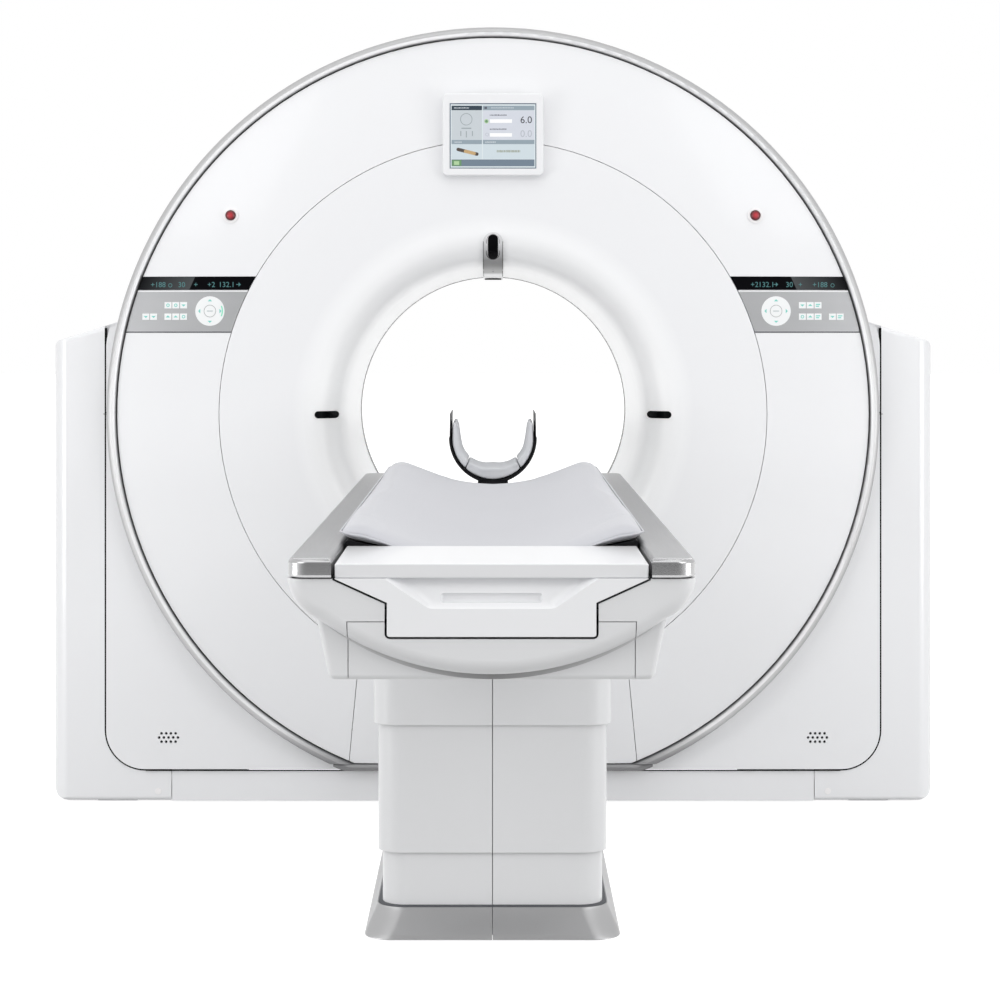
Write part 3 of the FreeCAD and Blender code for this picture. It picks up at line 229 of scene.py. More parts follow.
# %% Colours, tones and bumps
def between(tree, factor, first, second, blend="MIX"):
    """Two colours mixed, or two numbers; each is a socket or a value."""
    node = tree.nodes.new("ShaderNodeMix")
    node.data_type = "FLOAT" if isinstance(second, float) else "RGBA"
    if node.data_type == "RGBA":
        node.blend_type = blend
    for name, value in (("A", first), ("B", second)):
        if isinstance(value, (float, tuple)):
            node.inputs[name].default_value = value
        else:
            tree.links.new(value, node.inputs[name])
    tree.links.new(factor, node.inputs["Factor"])
    return node.outputs["Result"]


def toned(tree, value, stops):
    """A tone for each place from 0 to 1; a number stands for a grey."""
    node = tree.nodes.new("ShaderNodeValToRGB")
    elements = node.color_ramp.elements
    for i, (part, tone) in enumerate(stops):
        stop = elements[i] if i < 2 else elements.new(part)
        stop.position = part
        stop.color = (tone, tone, tone * 1.01, 1) if isinstance(tone, float) else (*tone, 1)
    tree.links.new(value, node.inputs[0])
    return node.outputs[0]


def noise(tree, vector, scale, detail):
    """A noise value read at some coordinates."""
    node = tree.nodes.new("ShaderNodeTexNoise")
    node.inputs["Scale"].default_value = scale
    node.inputs["Detail"].default_value = detail
    tree.links.new(vector, node.inputs["Vector"])
    return node.outputs["Fac"]


def bumped(tree, height, strength, depth):
    """The surface takes its small bumps from a value; the depth is in millimetres."""
    node = tree.nodes.new("ShaderNodeBump")
    node.inputs["Strength"].default_value = strength
    node.inputs["Distance"].default_value = depth * MM
    tree.links.new(height, node.inputs["Height"])
    tree.links.new(node.outputs[0], tree.nodes["Principled BSDF"].inputs["Normal"])


print("colour helpers", [f.__name__ for f in (between, toned, noise, bumped)])


# %% A finish with mottle, dull places and grain
def finish(name, colour, roughness, metallic=0.0, coat=0.0, mottle=0.03, patch=5.0, grain=900.0, depth=0.02,
           stretch=(1, 1, 1), specular=0.5):
    """A procedural surface: a mottled colour, an uneven gloss and a fine grain."""
    material = bpy.data.materials.new(name)
    material.use_nodes = True
    tree, shader = opened(material)
    for socket, value in (("Metallic", metallic), ("Coat Weight", coat), ("Coat Roughness", 0.08),
                          ("Specular IOR Level", specular)):
        shader.inputs[socket].default_value = value
    coords = tree.nodes.new("ShaderNodeTexCoord")
    mapping = tree.nodes.new("ShaderNodeMapping")
    mapping.inputs["Scale"].default_value = stretch
    tree.links.new(coords.outputs["Object"], mapping.inputs["Vector"])
    darker = (*[c * (1 - mottle) for c in colour], 1)
    paler = (*[min(1, c * (1 + mottle)) for c in colour], 1)
    clouds = noise(tree, mapping.outputs[0], patch, 3.0)
    tree.links.new(between(tree, clouds, darker, paler), shader.inputs["Base Color"])
    fine = noise(tree, mapping.outputs[0], grain, 2.0)
    gloss = mapped(tree, fine, 0.0, 1.0, roughness * 0.85, min(1, roughness * 1.18))
    tree.links.new(gloss, shader.inputs["Roughness"])
    bumped(tree, fine, 0.6, depth)
    return material


def repainted(material, factor, other, socket="Base Color"):
    """Where the factor is 1, the surface has another colour or gloss."""
    tree, shader = opened(material)
    plain = shader.inputs[socket].links[0].from_socket
    tree.links.new(between(tree, factor, plain, other), shader.inputs[socket])


COVER = dict(coat=0.35, mottle=0.008, patch=2.5, depth=0.012)
COVER_WHITE = (0.845, 0.85, 0.865)
finishes = {
    "white_cover": finish("moulded_white", COVER_WHITE, 0.30, **COVER),
    # The couch's white is greyer than the gantry's; part of that greyness is painted shade.
    "couch_cover": finish("couch_white_with_painted_shade", (0.725, 0.73, 0.74), 0.32, **COVER | {"coat": 0.3}),
    "frame_steel": finish("painted_steel", (0.42, 0.44, 0.47), 0.45, 0.2, mottle=0.07, patch=14,
                          depth=0.08),
    "bearing_steel": finish("ground_steel", (0.58, 0.59, 0.61), 0.22, 1.0, mottle=0.05, patch=30,
                            depth=0.01),
    "dark_metal": finish("blackened_metal", (0.09, 0.095, 0.105), 0.5, 0.4, mottle=0.12, patch=20,
                         depth=0.05),
    "dark_window": finish("black_window", (0.002, 0.002, 0.0025), 0.16, mottle=0.3, patch=9, depth=0.002,
                          specular=0.06),
    "screen_glass": finish("screen_border", (0.10, 0.15, 0.22), 0.22, coat=0.4, mottle=0.05, patch=20,
                           depth=0.002),
    "pale_trim": finish("pale_trim", (0.92, 0.905, 0.91), 0.3, coat=0.2, mottle=0.02, patch=20, depth=0.01),
    "key_plastic": finish("key_plastic", (0.86, 0.875, 0.88), 0.35, mottle=0.02, patch=40, depth=0.02),
    "dark_plastic": finish("dark_plastic", (0.02, 0.02, 0.024), 0.55, mottle=0.2, patch=30, depth=0.08),
    "cast_metal": finish("cast_aluminium", (0.48, 0.485, 0.5), 0.5, 0.8, mottle=0.09, patch=18, grain=260,
                         depth=0.3),
    "grey_paint": finish("hammered_grey", (0.36, 0.38, 0.41), 0.42, 0.1, mottle=0.06, patch=12, grain=180,
                         depth=0.25),
    "red_plastic": finish("red_plastic", (0.50, 0.012, 0.018), 0.25, coat=0.5, mottle=0.08, patch=60,
                          depth=0.01),
    "liner_pad": finish("liner_foam", (0.60, 0.61, 0.63), 0.8, mottle=0.05, patch=25, grain=1200,
                        depth=0.15),
}
print("plain finishes", len(finishes))

# %% [markdown]
# Brushed metal is scratched in one direction: along the couch on the rails, round the bore on the ring and
# sideways on the control panels. Stretching the noise across that direction draws the scratches. The ring
# needs its own coordinates, distance from the bore's axis and depth, because its scratches run in circles.
# Its colour is painted over its width as well: a dark inner edge as shade, a bright band as a highlight and
# a grey flank; near the foot it is painted darker, as shade.

# %% Brushed and satin metals
window_low, window_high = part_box("scan_window")
ISO_Z = (window_low.z + window_high.z) / 2
RING_R = (0.9445, 0.9687)
FLAT_Z = (0.086, 0.104)
# Between these heights the ring is painted darker downwards, as shade.
FOOT_SHADE_Z = (0.20, 0.10)
# Radii over which the bell is painted brighter, as light.
BELL_PAINTED_LIGHT_R = (0.50, 0.43)
# Painted light and shade across the ring: dark inner edge, bright band, grey flank.
RING_PAINTED_LIGHT = ((0.0, (0.22, 0.22, 0.225)), (0.05, 0.30), (0.12, 0.72), (0.18, 0.90), (0.38, 0.90),
              (0.50, 0.52), (0.90, 0.47), (1.0, 0.52))
RING_SCRATCH = 1400.0


def distance(tree, across, up):
    """How far a point is from an axis, given its two distances at right angles."""
    squares = [arithmetic(tree, "POWER", side, 2.0) for side in (across, up)]
    return arithmetic(tree, "SQRT", arithmetic(tree, "ADD", *squares))


def from_bore(tree, point):
    """A point's distance from the bore's axis."""
    return distance(tree, point["X"], arithmetic(tree, "SUBTRACT", point["Z"], ISO_Z))


def ring_finish(name):
    """Circular scratches; painted light and shade over the width and flat run, painted shade at the foot."""
    material = finish(name, (0.6, 0.6, 0.61), 0.42, 0.45, mottle=0.05, patch=3.0, depth=0.01)
    tree, shader = opened(material)
    point = axes(tree)
    radius = from_bore(tree, point)
    rings = tree.nodes.new("ShaderNodeCombineXYZ")
    tree.links.new(radius, rings.inputs["X"])
    tree.links.new(point["Y"], rings.inputs["Y"])
    bumped(tree, noise(tree, rings.outputs[0], RING_SCRATCH, 3.0), 0.2, 0.01)
    flat_run = mapped(tree, point["Z"], *FLAT_Z[::-1])
    way = arithmetic(tree, "MAXIMUM", mapped(tree, radius, *RING_R), flat_run)
    # Painted shade: the colour darkens towards the foot.
    foot = mapped(tree, point["Z"], *FOOT_SHADE_Z, 0.0, 0.75)
    tone = between(tree, foot, toned(tree, way, RING_PAINTED_LIGHT), (0.10, 0.10, 0.105, 1))
    tree.links.new(tone, shader.inputs["Base Color"])
    return material


finishes["silver_trim"] = ring_finish("ring_silver")
# The disc's white is painted brighter inside the bell mouth, as light.
disc_white_painted_light = finish("disc_white_painted_light", COVER_WHITE, 0.30, **COVER)
tree = disc_white_painted_light.node_tree
repainted(disc_white_painted_light, mapped(tree, from_bore(tree, axes(tree)), *BELL_PAINTED_LIGHT_R), (0.945, 0.95, 0.955, 1))
finishes["brushed_rail"] = finish("rail_aluminium", (0.335, 0.335, 0.34), 0.38, 1.0, mottle=0.10, patch=12,
                                  grain=700, depth=0.03, stretch=(3.0, 0.02, 3.0))
finishes["silver_panel"] = finish("panel_silver", (0.42, 0.425, 0.435), 0.36, 0.6, mottle=0.05, patch=16,
                                  grain=800, depth=0.02, stretch=(0.04, 1.0, 1.5))
skirt_silver = finish("skirt_silver", (0.43, 0.43, 0.435), 0.40, 0.85, mottle=0.05, patch=6,
                      grain=2600, depth=0.02)
print("metals made")

# %% [markdown]
# The pad's cover is a coated cloth: a very fine square weave, soft sheen and slow changes of tone. Two
# crossed waves, one along and one across the couch, give the weave. Carbon cloth is a twill: the same
# crossed waves, but much coarser, dark, and under a glossy resin.

# %% Cloth and carbon
def woven(name, colour, roughness, thread, depth, sheen, contrast, **more):
    """Cloth of two crossed sets of threads, each this wide."""
    material = finish(name, colour, roughness, **more)
    tree, shader = opened(material)
    shader.inputs["Sheen Weight"].default_value = sheen
    coords = tree.nodes.new("ShaderNodeTexCoord")
    waves = []
    for direction in ("X", "Y"):
        wave = tree.nodes.new("ShaderNodeTexWave")
        wave.bands_direction = direction
        wave.inputs["Scale"].default_value = 0.314 / thread
        wave.inputs["Distortion"].default_value = 0.6
        wave.inputs["Detail Scale"].default_value = 2.0
        tree.links.new(coords.outputs["Object"], wave.inputs["Vector"])
        waves.append(wave.outputs["Fac"])
    weave = arithmetic(tree, "MULTIPLY", *waves)
    bumped(tree, weave, 0.7, depth)
    base = shader.inputs["Base Color"].links[0].from_socket
    shaded = between(tree, weave, base, (contrast, contrast, contrast, 1), "MULTIPLY")
    tree.links.new(shaded, shader.inputs["Base Color"])
    return material


finishes["pad_cover"] = woven("pad_cloth", (0.56, 0.565, 0.60), 0.62, 0.0016, 0.10, 0.25, 0.93,
                              mottle=0.02, patch=4.0)
finishes["carbon_shell"] = woven("carbon_twill", (0.005, 0.005, 0.006), 0.45, 0.006, 0.03, 0.0, 1.8,
                                 specular=0.15, mottle=0.2, patch=30)

for row in frame["record"]["subparts"]:
    nodes[row["node"]].material_slots[0].material = finishes[row["material_slot"]]
nodes["base_skirt"].material_slots[0].material = skirt_silver
for disc_cover in ("front_disc_cover", "rear_disc_cover"):
    nodes[disc_cover].material_slots[0].material = disc_white_painted_light
print("finishes on", len(nodes), "nodes")

# %% [markdown]
# ## New pieces
# A construction model has sharp edges; moulded covers don't, and it is the thin grey roll of light along
# an edge that makes a cover look real. So the covers that show most are modelled again from the same sizes:
# an outline is pulled into a block, its edges are rounded, and openings are cut with a second block.

# %% Blocks and rounded edges
def slab(outline, y):
    """A closed block: an outline of (x, z) points at one depth, pulled to another."""
    bm = bmesh.new()
    face = bm.faces.new([bm.verts.new((x, y[0], z)) for x, z in outline])
    pulled = bmesh.ops.extrude_face_region(bm, geom=[face], use_keep_orig=True)["geom"]
    moved = [v for v in pulled if isinstance(v, bmesh.types.BMVert)]
    bmesh.ops.translate(bm, verts=moved, vec=(0, y[1] - y[0], 0))
    bmesh.ops.recalc_face_normals(bm, faces=bm.faces)
    return bm


def brick(x, y, z):
    """A block between two ends along each axis."""
    bm = bmesh.new()
    bmesh.ops.create_cube(bm, size=1.0)
    bmesh.ops.scale(bm, vec=(x[1] - x[0], y[1] - y[0], z[1] - z[0]), verts=bm.verts)
    bmesh.ops.translate(bm, vec=((x[0] + x[1]) / 2, (y[0] + y[1]) / 2, (z[0] + z[1]) / 2), verts=bm.verts)
    return bm


def drum(x, z, r, y, sides=24):
    """A round block whose axis runs along the couch."""
    turns = [math.tau * i / sides for i in range(sides)]
    return slab([(x + r * math.cos(turn), z + r * math.sin(turn)) for turn in turns], y)


def soften(bm, radius, wanted, segments=4):
    """Round the edges that a test of their middle and direction picks."""
    edges = []
    for edge in bm.edges:
        a, b = (v.co for v in edge.verts)
        if wanted((a + b) / 2, (b - a).normalized()):
            edges.append(edge)
    bmesh.ops.bevel(bm, geom=edges, offset=radius, offset_type="OFFSET", affect="EDGES", segments=segments,
                    profile=0.5, material=-1, clamp_overlap=True)
    return bm


def arc(start, middle, end, count):
    """Points from start to end on the circle through a middle point, the start left out."""
    (ax, az), (mx, mz), (ex, ez) = start, middle, end
    d = 2 * (ax * (mz - ez) + mx * (ez - az) + ex * (az - mz))
    a2, m2, e2 = ax * ax + az * az, mx * mx + mz * mz, ex * ex + ez * ez
    cx = (a2 * (mz - ez) + m2 * (ez - az) + e2 * (az - mz)) / d
    cz = (a2 * (ex - mx) + m2 * (ax - ex) + e2 * (mx - ax)) / d
    r = math.hypot(ax - cx, az - cz)
    first, via, last = (math.atan2(z - cz, x - cx) for x, z in (start, middle, end))
    turn = (last - first) % math.tau
    if (via - first) % math.tau > turn:
        turn -= math.tau
    steps = [first + turn * i / count for i in range(1, count + 1)]
    return [(cx + r * math.cos(t), cz + r * math.sin(t)) for t in steps]


def mirrored(bm):
    """The same block on the other side of the middle plane."""
    other = bm.copy()
    bmesh.ops.scale(other, vec=(-1, 1, 1), verts=other.verts)
    bmesh.ops.reverse_faces(other, faces=other.faces)
    return other


def joined(*parts):
    """Several blocks as one bmesh."""
    whole = bmesh.new()
    for part in parts:
        mesh = bpy.data.meshes.new("part")
        part.to_mesh(mesh)
        part.free()
        whole.from_mesh(mesh)
        bpy.data.meshes.remove(mesh)
    return whole


# %% Cuts, and setting a piece in its place
def loose(bm, name="loose"):
    """A mesh object in the scene, made from a bmesh that isn't needed any more."""
    mesh = bpy.data.meshes.new(name)
    bm.to_mesh(mesh)
    bm.free()
    thing = bpy.data.objects.new(name, mesh)
    bpy.context.scene.collection.objects.link(thing)
    return thing


def settle(thing):
    """Work the object's modifiers into its mesh."""
    mesh = bpy.data.meshes.new_from_object(thing.evaluated_get(bpy.context.evaluated_depsgraph_get()))
    thing.modifiers.clear()
    thing.data = mesh


def carved(bm, cutters, operation="DIFFERENCE"):
    """The block after each cutter is taken from it, added to it or kept."""
    body = loose(bm)
    for cutter in cutters:
        tool = loose(cutter)
        step = body.modifiers.new("carve", "BOOLEAN")
        step.operation = operation
        step.solver = "EXACT"
        step.object = tool
        settle(body)
        bpy.data.objects.remove(tool)
    result = bmesh.new()
    result.from_mesh(body.data)
    bpy.data.objects.remove(body)
    bmesh.ops.remove_doubles(result, verts=result.verts, dist=1e-5)
    return result


def place(bm, name, body, slot, *stands_for, material=None, sharp=40, wall=0.0, edge=0.0):
    """A finished piece on its body; a wall thickens a shell inwards, an edge rounds what is sharp."""
    piece = loose(bm, name)
    if wall:
        thicken = piece.modifiers.new("wall", "SOLIDIFY")
        thicken.thickness = wall
        thicken.offset = -1
    if edge:
        rounded = piece.modifiers.new("edge", "BEVEL")
        rounded.width = edge
        rounded.segments = 2
        rounded.limit_method = "ANGLE"
        rounded.angle_limit = math.radians(sharp)
    settle(piece)
    piece.data.shade_smooth()
    piece.data.set_sharp_from_angle(angle=math.radians(sharp))
    level = piece.modifiers.new("level", "WEIGHTED_NORMAL")
    level.keep_sharp = True
    settle(piece)
    piece.data.name = name
    piece.data.materials.clear()
    piece.data.materials.append(material or finishes[slot])
    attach(piece, body)
    if stands_for:
        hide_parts(*stands_for)
    print(name, len(piece.data.polygons), "faces")
    return piece


def place_pair(right, name, body, slot, node):
    """A right-hand piece and its mirrored twin, each for the construction piece on its side."""
    place(mirrored(right), f"{name}_left", body, slot, f"{node}_left")
    place(right, f"{name}_right", body, slot, f"{node}_right")


# %% [markdown]
# The side towers carry the gantry. Each is a deep cover with a generous rolled edge all round its outside
# and a sloping shoulder that runs up to the casing. The front panel sits in an opening whose lower corner is
# round, with a dark rubber gasket in the gap between them.

# %% Side towers
tower_low, tower_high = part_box("tower_cover_right")
panel_low, panel_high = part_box("lower_corner_panel_right")
SHOULDER_Z = 1.161
SHOULDER_SLOPE = 0.3133
FOOT_CORNER = 0.038
TOP_CORNER = 0.016
RIM = 0.012
PLAN_CORNER = 0.038
GASKET = 0.0048
OPENING_DEPTH = 0.02
CORNER_R = 0.098
CASING_R = 0.9635


def opening_block(grow, y):
    """The space of a front panel, grown by a gap, with its round lower corner."""
    x = panel_high.x + grow
    z = panel_low.z - grow
    block = slab([(0.3, z), (x, z), (x, 1.5), (0.3, 1.5)], y)
    return soften(block, CORNER_R + grow, lambda mid, way: mid.x > x - 1e-4 and mid.z < z + 1e-4, 12)


def casing():
    """The round of the gantry, which the towers leave free."""
    return drum(0.0, ISO_Z, CASING_R, (-0.5, 0.5), sides=180)


def tower():
    """The right-hand tower: what its outline from the front and its outline from above have in common."""
    inner, outer = tower_low.x, tower_high.x
    low, front, rear = tower_low.z, tower_low.y, tower_high.y
    peak = SHOULDER_Z + (outer - inner) * SHOULDER_SLOPE
    block = slab([(inner, low), (outer, low), (outer, SHOULDER_Z), (inner, peak)], (front, rear))

    def outside(mid, way):
        return abs(way.y) > 0.9 and mid.x > outer - 1e-3

    soften(block, FOOT_CORNER, lambda mid, way: outside(mid, way) and mid.z < low + 1e-3, 10)
    soften(block, TOP_CORNER, lambda mid, way: outside(mid, way) and mid.z > low + 0.5, 5)
    soften(block, RIM, lambda mid, way: abs(way.y) < 0.5 and mid.x > inner + 1e-3, 5)
    plan = brick((inner - 0.1, outer), (front, rear), (low - 0.1, peak + 0.1))
    soften(plan, PLAN_CORNER, lambda mid, way: abs(way.z) > 0.9 and mid.x > outer - 1e-3, 10)
    whole = carved(block, [plan], "INTERSECT")
    return carved(whole, [opening_block(GASKET, (front - 0.05, front + OPENING_DEPTH)), casing()])


place_pair(tower(), "tower_shell", "fixed", "white_cover", "tower_cover")
gasket_y = (tower_low.y - 0.0003, tower_low.y + 0.014)
gasket = carved(opening_block(GASKET - 0.0002, gasket_y), [
    opening_block(0.0002, (-0.4, -0.2)), casing(),
    brick((0, 2), (-1, 1), (SHOULDER_Z + 0.035, 2)), brick((0, tower_low.x), (-1, 1), (0, 1))])
# The dark rubber finish also serves the laser strip's painted shadow lines.
rubber_and_painted_shade = finish("seam_rubber_and_painted_shade", (0.004, 0.004, 0.004), 0.8, mottle=0.2, patch=30, depth=0.05, specular=0.1)
place(joined(mirrored(gasket), gasket), "panel_gaskets", "fixed", "dark_plastic", material=rubber_and_painted_shade)

# %% [markdown]
# ## Couch body
# The couch's hull is a bowl over a narrower tapered box. Its near rim rolls inwards, and the shade along its
# keel is painted: a thin grey crescent that fades towards its ends. A T-shaped slot lets the handle panel
# travel out, and a panel at the foot lifts off. The shell is hollow, as it shows when the cradle has moved
# into the bore.

# %% Hull
hull_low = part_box("hull_cover")[0]
HULL_HALF = 0.303
HULL_RIM_Z = 0.824
HULL_LOW_Z = hull_low.z
SIDE_SLOPE = (0.0393, 0.061)
BOWL_Y = (-2.976, -0.745)
BOX_Y = (-2.946, -0.800)
HULL_WALL = 0.005
TRAVEL_GAP = 0.0035
BOWL_EDGE = 0.024
NECK_HALF, NECK_LOW_Z, NECK_Z = 0.1545, 0.7386, 0.789
NECK_CORNER = 0.004
CAP_HALF, CAP_LOW_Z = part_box("cradle_cap")[1].x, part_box("cradle_cap")[0].z
FOOT_PANEL_HALF, FOOT_PANEL_Y, FOOT_PANEL_TOP = 0.213, (-3.0, -2.88), 0.76
FOOT_GAP = 0.0012
BOWL_BULGE, BOWL_SIDE, BOWL_KEEL_Z = (0.013, 0.7875), (0.044, 0.763), 0.680
BOX_TOP_Z, BOX_EDGE = 0.775, 0.009
SLEEVE_CORNER, COLUMN_GAP = 0.05, 0.0015


def bowl(inset):
    """The upper part of the hull, or the space in it."""
    x, top = HULL_HALF - inset, HULL_RIM_Z + inset
    side_x, side_z = x - BOWL_SIDE[0], BOWL_SIDE[1] + inset
    bulge_x, bulge_z = x - BOWL_BULGE[0], BOWL_BULGE[1] + 0.7 * inset
    outline = [(x, top)] + arc((x, top), (bulge_x, bulge_z), (side_x, side_z), 8)
    outline += arc((side_x, side_z), (0, BOWL_KEEL_Z + inset), (-side_x, side_z), 40)
    outline += arc((-side_x, side_z), (-bulge_x, bulge_z), (-x, top), 8)
    near = BOWL_Y[0] + inset
    block = slab(outline, (near, BOWL_Y[1] - inset))
    return soften(block, BOWL_EDGE, lambda mid, way: mid.y < near + 1e-4 and mid.z < top - 1e-4, 6)


def tapered_box(inset):
    """The lower part of the hull, or the space in it."""
    wide, narrow = (HULL_HALF - step - inset for step in SIDE_SLOPE)
    low = HULL_LOW_Z + inset
    outline = [(wide, BOX_TOP_Z), (narrow, low), (-narrow, low), (-wide, BOX_TOP_Z)]
    block = slab(outline, (BOX_Y[0] + inset, BOX_Y[1] - inset))
    return soften(block, BOX_EDGE, lambda mid, way: abs(way.z) > 0.5 or mid.z < low + 1e-4, 5)


def handle_outline(grow, top):
    """The T shape of the handle panel, grown by the gap round it."""
    x, wide = NECK_HALF + grow, CAP_HALF + grow
    low, knee, ledge = NECK_LOW_Z - grow, NECK_Z - 0.6 * grow, CAP_LOW_Z - 0.001 - 0.6 * grow
    half = [(x, low), (x, knee), (wide, ledge), (wide, top)]
    return [(-x, low), *half, *[(-x, z) for x, z in half[:0:-1]]]


def handle_block(grow, top, y):
    """The T as a block with its two lower corners rounded."""
    block = slab(handle_outline(grow, top), y)
    return soften(block, NECK_CORNER + grow, lambda mid, way: abs(way.y) > 0.9 and mid.z < 0.75, 6)


def column_hole():
    """The column's way in through the hull's floor."""
    low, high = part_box("middle_sleeve")
    x, y = ((getattr(low, way) - COLUMN_GAP, getattr(high, way) + COLUMN_GAP) for way in "xy")
    return soften(brick(x, y, (0.65, 0.70)), SLEEVE_CORNER, lambda mid, way: abs(way.z) > 0.9, 10)


def foot_block(grow):
    """The space of the panel at the foot, grown by the gap round it."""
    half = FOOT_PANEL_HALF + grow
    return brick((-half, half), (FOOT_PANEL_Y[0], FOOT_PANEL_Y[1] + grow), (0.6, FOOT_PANEL_TOP + grow))


slot_for_handle = handle_block(TRAVEL_GAP, 0.9, (-3.0, -2.9))
far_opening = brick((-0.272, 0.272), (-0.81, -0.73), (0.768, 0.9))
shell = carved(carved(bowl(0.0), [tapered_box(0.0)], "UNION"),
               [bowl(HULL_WALL), tapered_box(HULL_WALL), slot_for_handle, far_opening, column_hole()])
foot_panel = carved(shell.copy(), [foot_block(0.0)], "INTERSECT")
shell = carved(shell, [foot_block(FOOT_GAP)])

# Painted shadow: a grey crescent on the box under the bowl's rim, darker in the middle.
KEEL_END = (0.240, 0.7480)
KEEL_WIDTH = 0.0090
keel_z = max(HULL_LOW_Z + 0.0008, 0.6720)
end_x, end_z = KEEL_END
crescent = [(-end_x, end_z)] + arc((-end_x, end_z), (0.0, keel_z), KEEL_END, 40)
crescent += arc(KEEL_END, (0.0, keel_z + KEEL_WIDTH), (-end_x, end_z), 40)[:-1]
keel_painted_shade = finish("keel_painted_shade", (0.3, 0.3, 0.3), 0.7, mottle=0.02)
tree, shader = opened(keel_painted_shade)
sideways = mapped(tree, arithmetic(tree, "ABSOLUTE", axes(tree)["X"]), 0.0, end_x)
shade_fade = between(tree, sideways, (0.28, 0.28, 0.283, 1), (0.66, 0.66, 0.665, 1))
tree.links.new(shade_fade, shader.inputs["Base Color"])
place(slab(crescent, (BOX_Y[0] - 0.0006, BOX_Y[0] + 0.001)), "keel_painted_shadow", "couch_top", "dark_plastic",
      material=keel_painted_shade)
couch_white_with_painted_shade = finishes["couch_cover"]
place(foot_panel, "foot_panel", "couch_top", "white_cover", "foot_access_panel", material=couch_white_with_painted_shade)
place(shell, "hull_shell", "couch_top", "white_cover", "hull_cover", material=couch_white_with_painted_shade)

# %% [markdown]
# The handle panel closes the couch's foot end and travels with the cradle. A scoop under the cap gives the
# hand room: its floor slopes in towards the top, so it catches the light, and a narrow grip is sunk in it.
# The scoop's block is a plain slab whose rear corners are moved, and its edges are rounded before the cut,
# which leaves the inner corners soft as a moulding has them. The cap's front face leans in a little.

# %% Handle panel and cap
panel_low, panel_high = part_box("handle_panel")
PANEL_Y = (panel_low.y, panel_high.y)
CAP_LEAN = 0.007
MOUTH = ((0.162, 0.827), (0.093, 0.7797))
GRIP_HALF, GRIP_Z, GRIP_DEPTH = 0.075, (0.790, 0.8015), (0.004, 0.018)
SCOOP_FLOOR = ((0.140, 0.827, 0.022), (0.086, 0.786, 0.006))


def scoop():
    """A block that narrows from the scoop's mouth to its slanted floor."""
    (top_x, top_z), (low_x, low_z) = MOUTH
    front, back = PANEL_Y[0] - 0.0005, PANEL_Y[0] + 0.03
    block = slab([(-top_x, top_z), (top_x, top_z), (low_x, low_z), (-low_x, low_z)], (front, back))
    for vert in block.verts:
        if vert.co.y > back - 1e-4:
            x, z, deep = SCOOP_FLOOR[0 if vert.co.z > 0.8 else 1]
            vert.co = (math.copysign(x, vert.co.x), PANEL_Y[0] + deep, z)
    return soften(block, 0.0055, lambda mid, way: mid.z < 0.82 and mid.y > front + 1e-4, 5)


def grip():
    """The narrow recess for the fingers."""
    near, far = (PANEL_Y[0] + deep for deep in GRIP_DEPTH)
    block = brick((-GRIP_HALF, GRIP_HALF), (near, far), GRIP_Z)
    for vert in block.verts:
        if vert.co.y < near + 1e-3:
            vert.co.z += math.copysign(0.0022, vert.co.z - sum(GRIP_Z) / 2)
    soften(block, 0.0045, lambda mid, way: abs(way.y) > 0.9, 5)
    return soften(block, 0.004, lambda mid, way: mid.y > far - 5e-4, 4)


panel = handle_block(0.0, CAP_LOW_Z, PANEL_Y)
soften(panel, 0.0012, lambda mid, way: mid.y < PANEL_Y[0] + 1e-4 and mid.z < CAP_LOW_Z - 0.002, 3)
place(carved(panel, [scoop(), grip()]), "handle_panel_moulding", "cradle", "white_cover", "handle_panel")

cap_low, cap_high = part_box("cradle_cap")
cap = brick((cap_low.x, cap_high.x), (cap_low.y, cap_high.y), (cap_low.z, cap_high.z))
for vert in cap.verts:
    if vert.co.y < cap_low.y + 1e-4 and vert.co.z < cap_low.z + 1e-4:
        vert.co.y += CAP_LEAN
soften(cap, 0.0026, lambda mid, way: mid.y < cap_high.y - 1e-3, 4)
place(cap, "cap_moulding", "cradle", "white_cover", "cradle_cap")

# %% [markdown]
# Each side rail is an aluminium extrusion: flat on top, with a rounded outer corner at the foot end, whose
# near face leans back and so mirrors the dim wall. It stands on a thin web, hidden in the hull. One finish
# does for both; over the last few centimetres at the foot end it is glossier and its colour is painted
# brighter, as a highlight.

# %% Side rails
RAIL_CORNER = 0.030
RAIL_LEAN = 0.0032

rail_silver = finishes["brushed_rail"]
tree = rail_silver.node_tree
# Painted highlight: the rail's foot end is painted brighter, and it is glossier there.
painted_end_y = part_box("side_rail_right")[0].y + RAIL_CORNER + 0.001
painted_end_highlight = arithmetic(tree, "LESS_THAN", axes(tree)["Y"], painted_end_y)
repainted(rail_silver, painted_end_highlight, (0.48, 0.48, 0.485, 1))
repainted(rail_silver, painted_end_highlight, 0.24, "Roughness")


def side_rail():
    """The right-hand rail and its web."""
    low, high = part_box("side_rail_right")
    rim_z = HULL_RIM_Z + 0.002
    bar = brick((low.x, high.x), (low.y, high.y), (rim_z, high.z))
    for vert in bar.verts:
        if vert.co.y < low.y + 1e-4 and vert.co.z > rim_z + 1e-3:
            vert.co.y += RAIL_LEAN
    soften(bar, RAIL_CORNER, lambda mid, way: abs(way.z) > 0.9 and mid.x > high.x - 1e-3, 12)
    soften(bar, 0.0065, lambda mid, way: mid.z > high.z - 1e-4, 5)
    soften(bar, 0.0045, lambda mid, way: mid.z < rim_z + 1e-4 and mid.x > low.x + 1e-3, 4)
    web = brick((0.270, 0.282), (low.y + 0.06, high.y - 0.04), (0.7972, rim_z + 0.001))
    return joined(bar, web)


place_pair(side_rail(), "rail", "couch_top", "brushed_rail", "side_rail")

# %% [markdown]
# ## Column
# Three sleeves slide inside each other. Each is moulded in two halves that meet on the middle line, so the
# tube is parted there and every edge is rounded a little. The silver skirt is built row by row from rounded
# rectangles that are bridged to each other.

# %% Sleeves
HAIRLINE = 0.0012


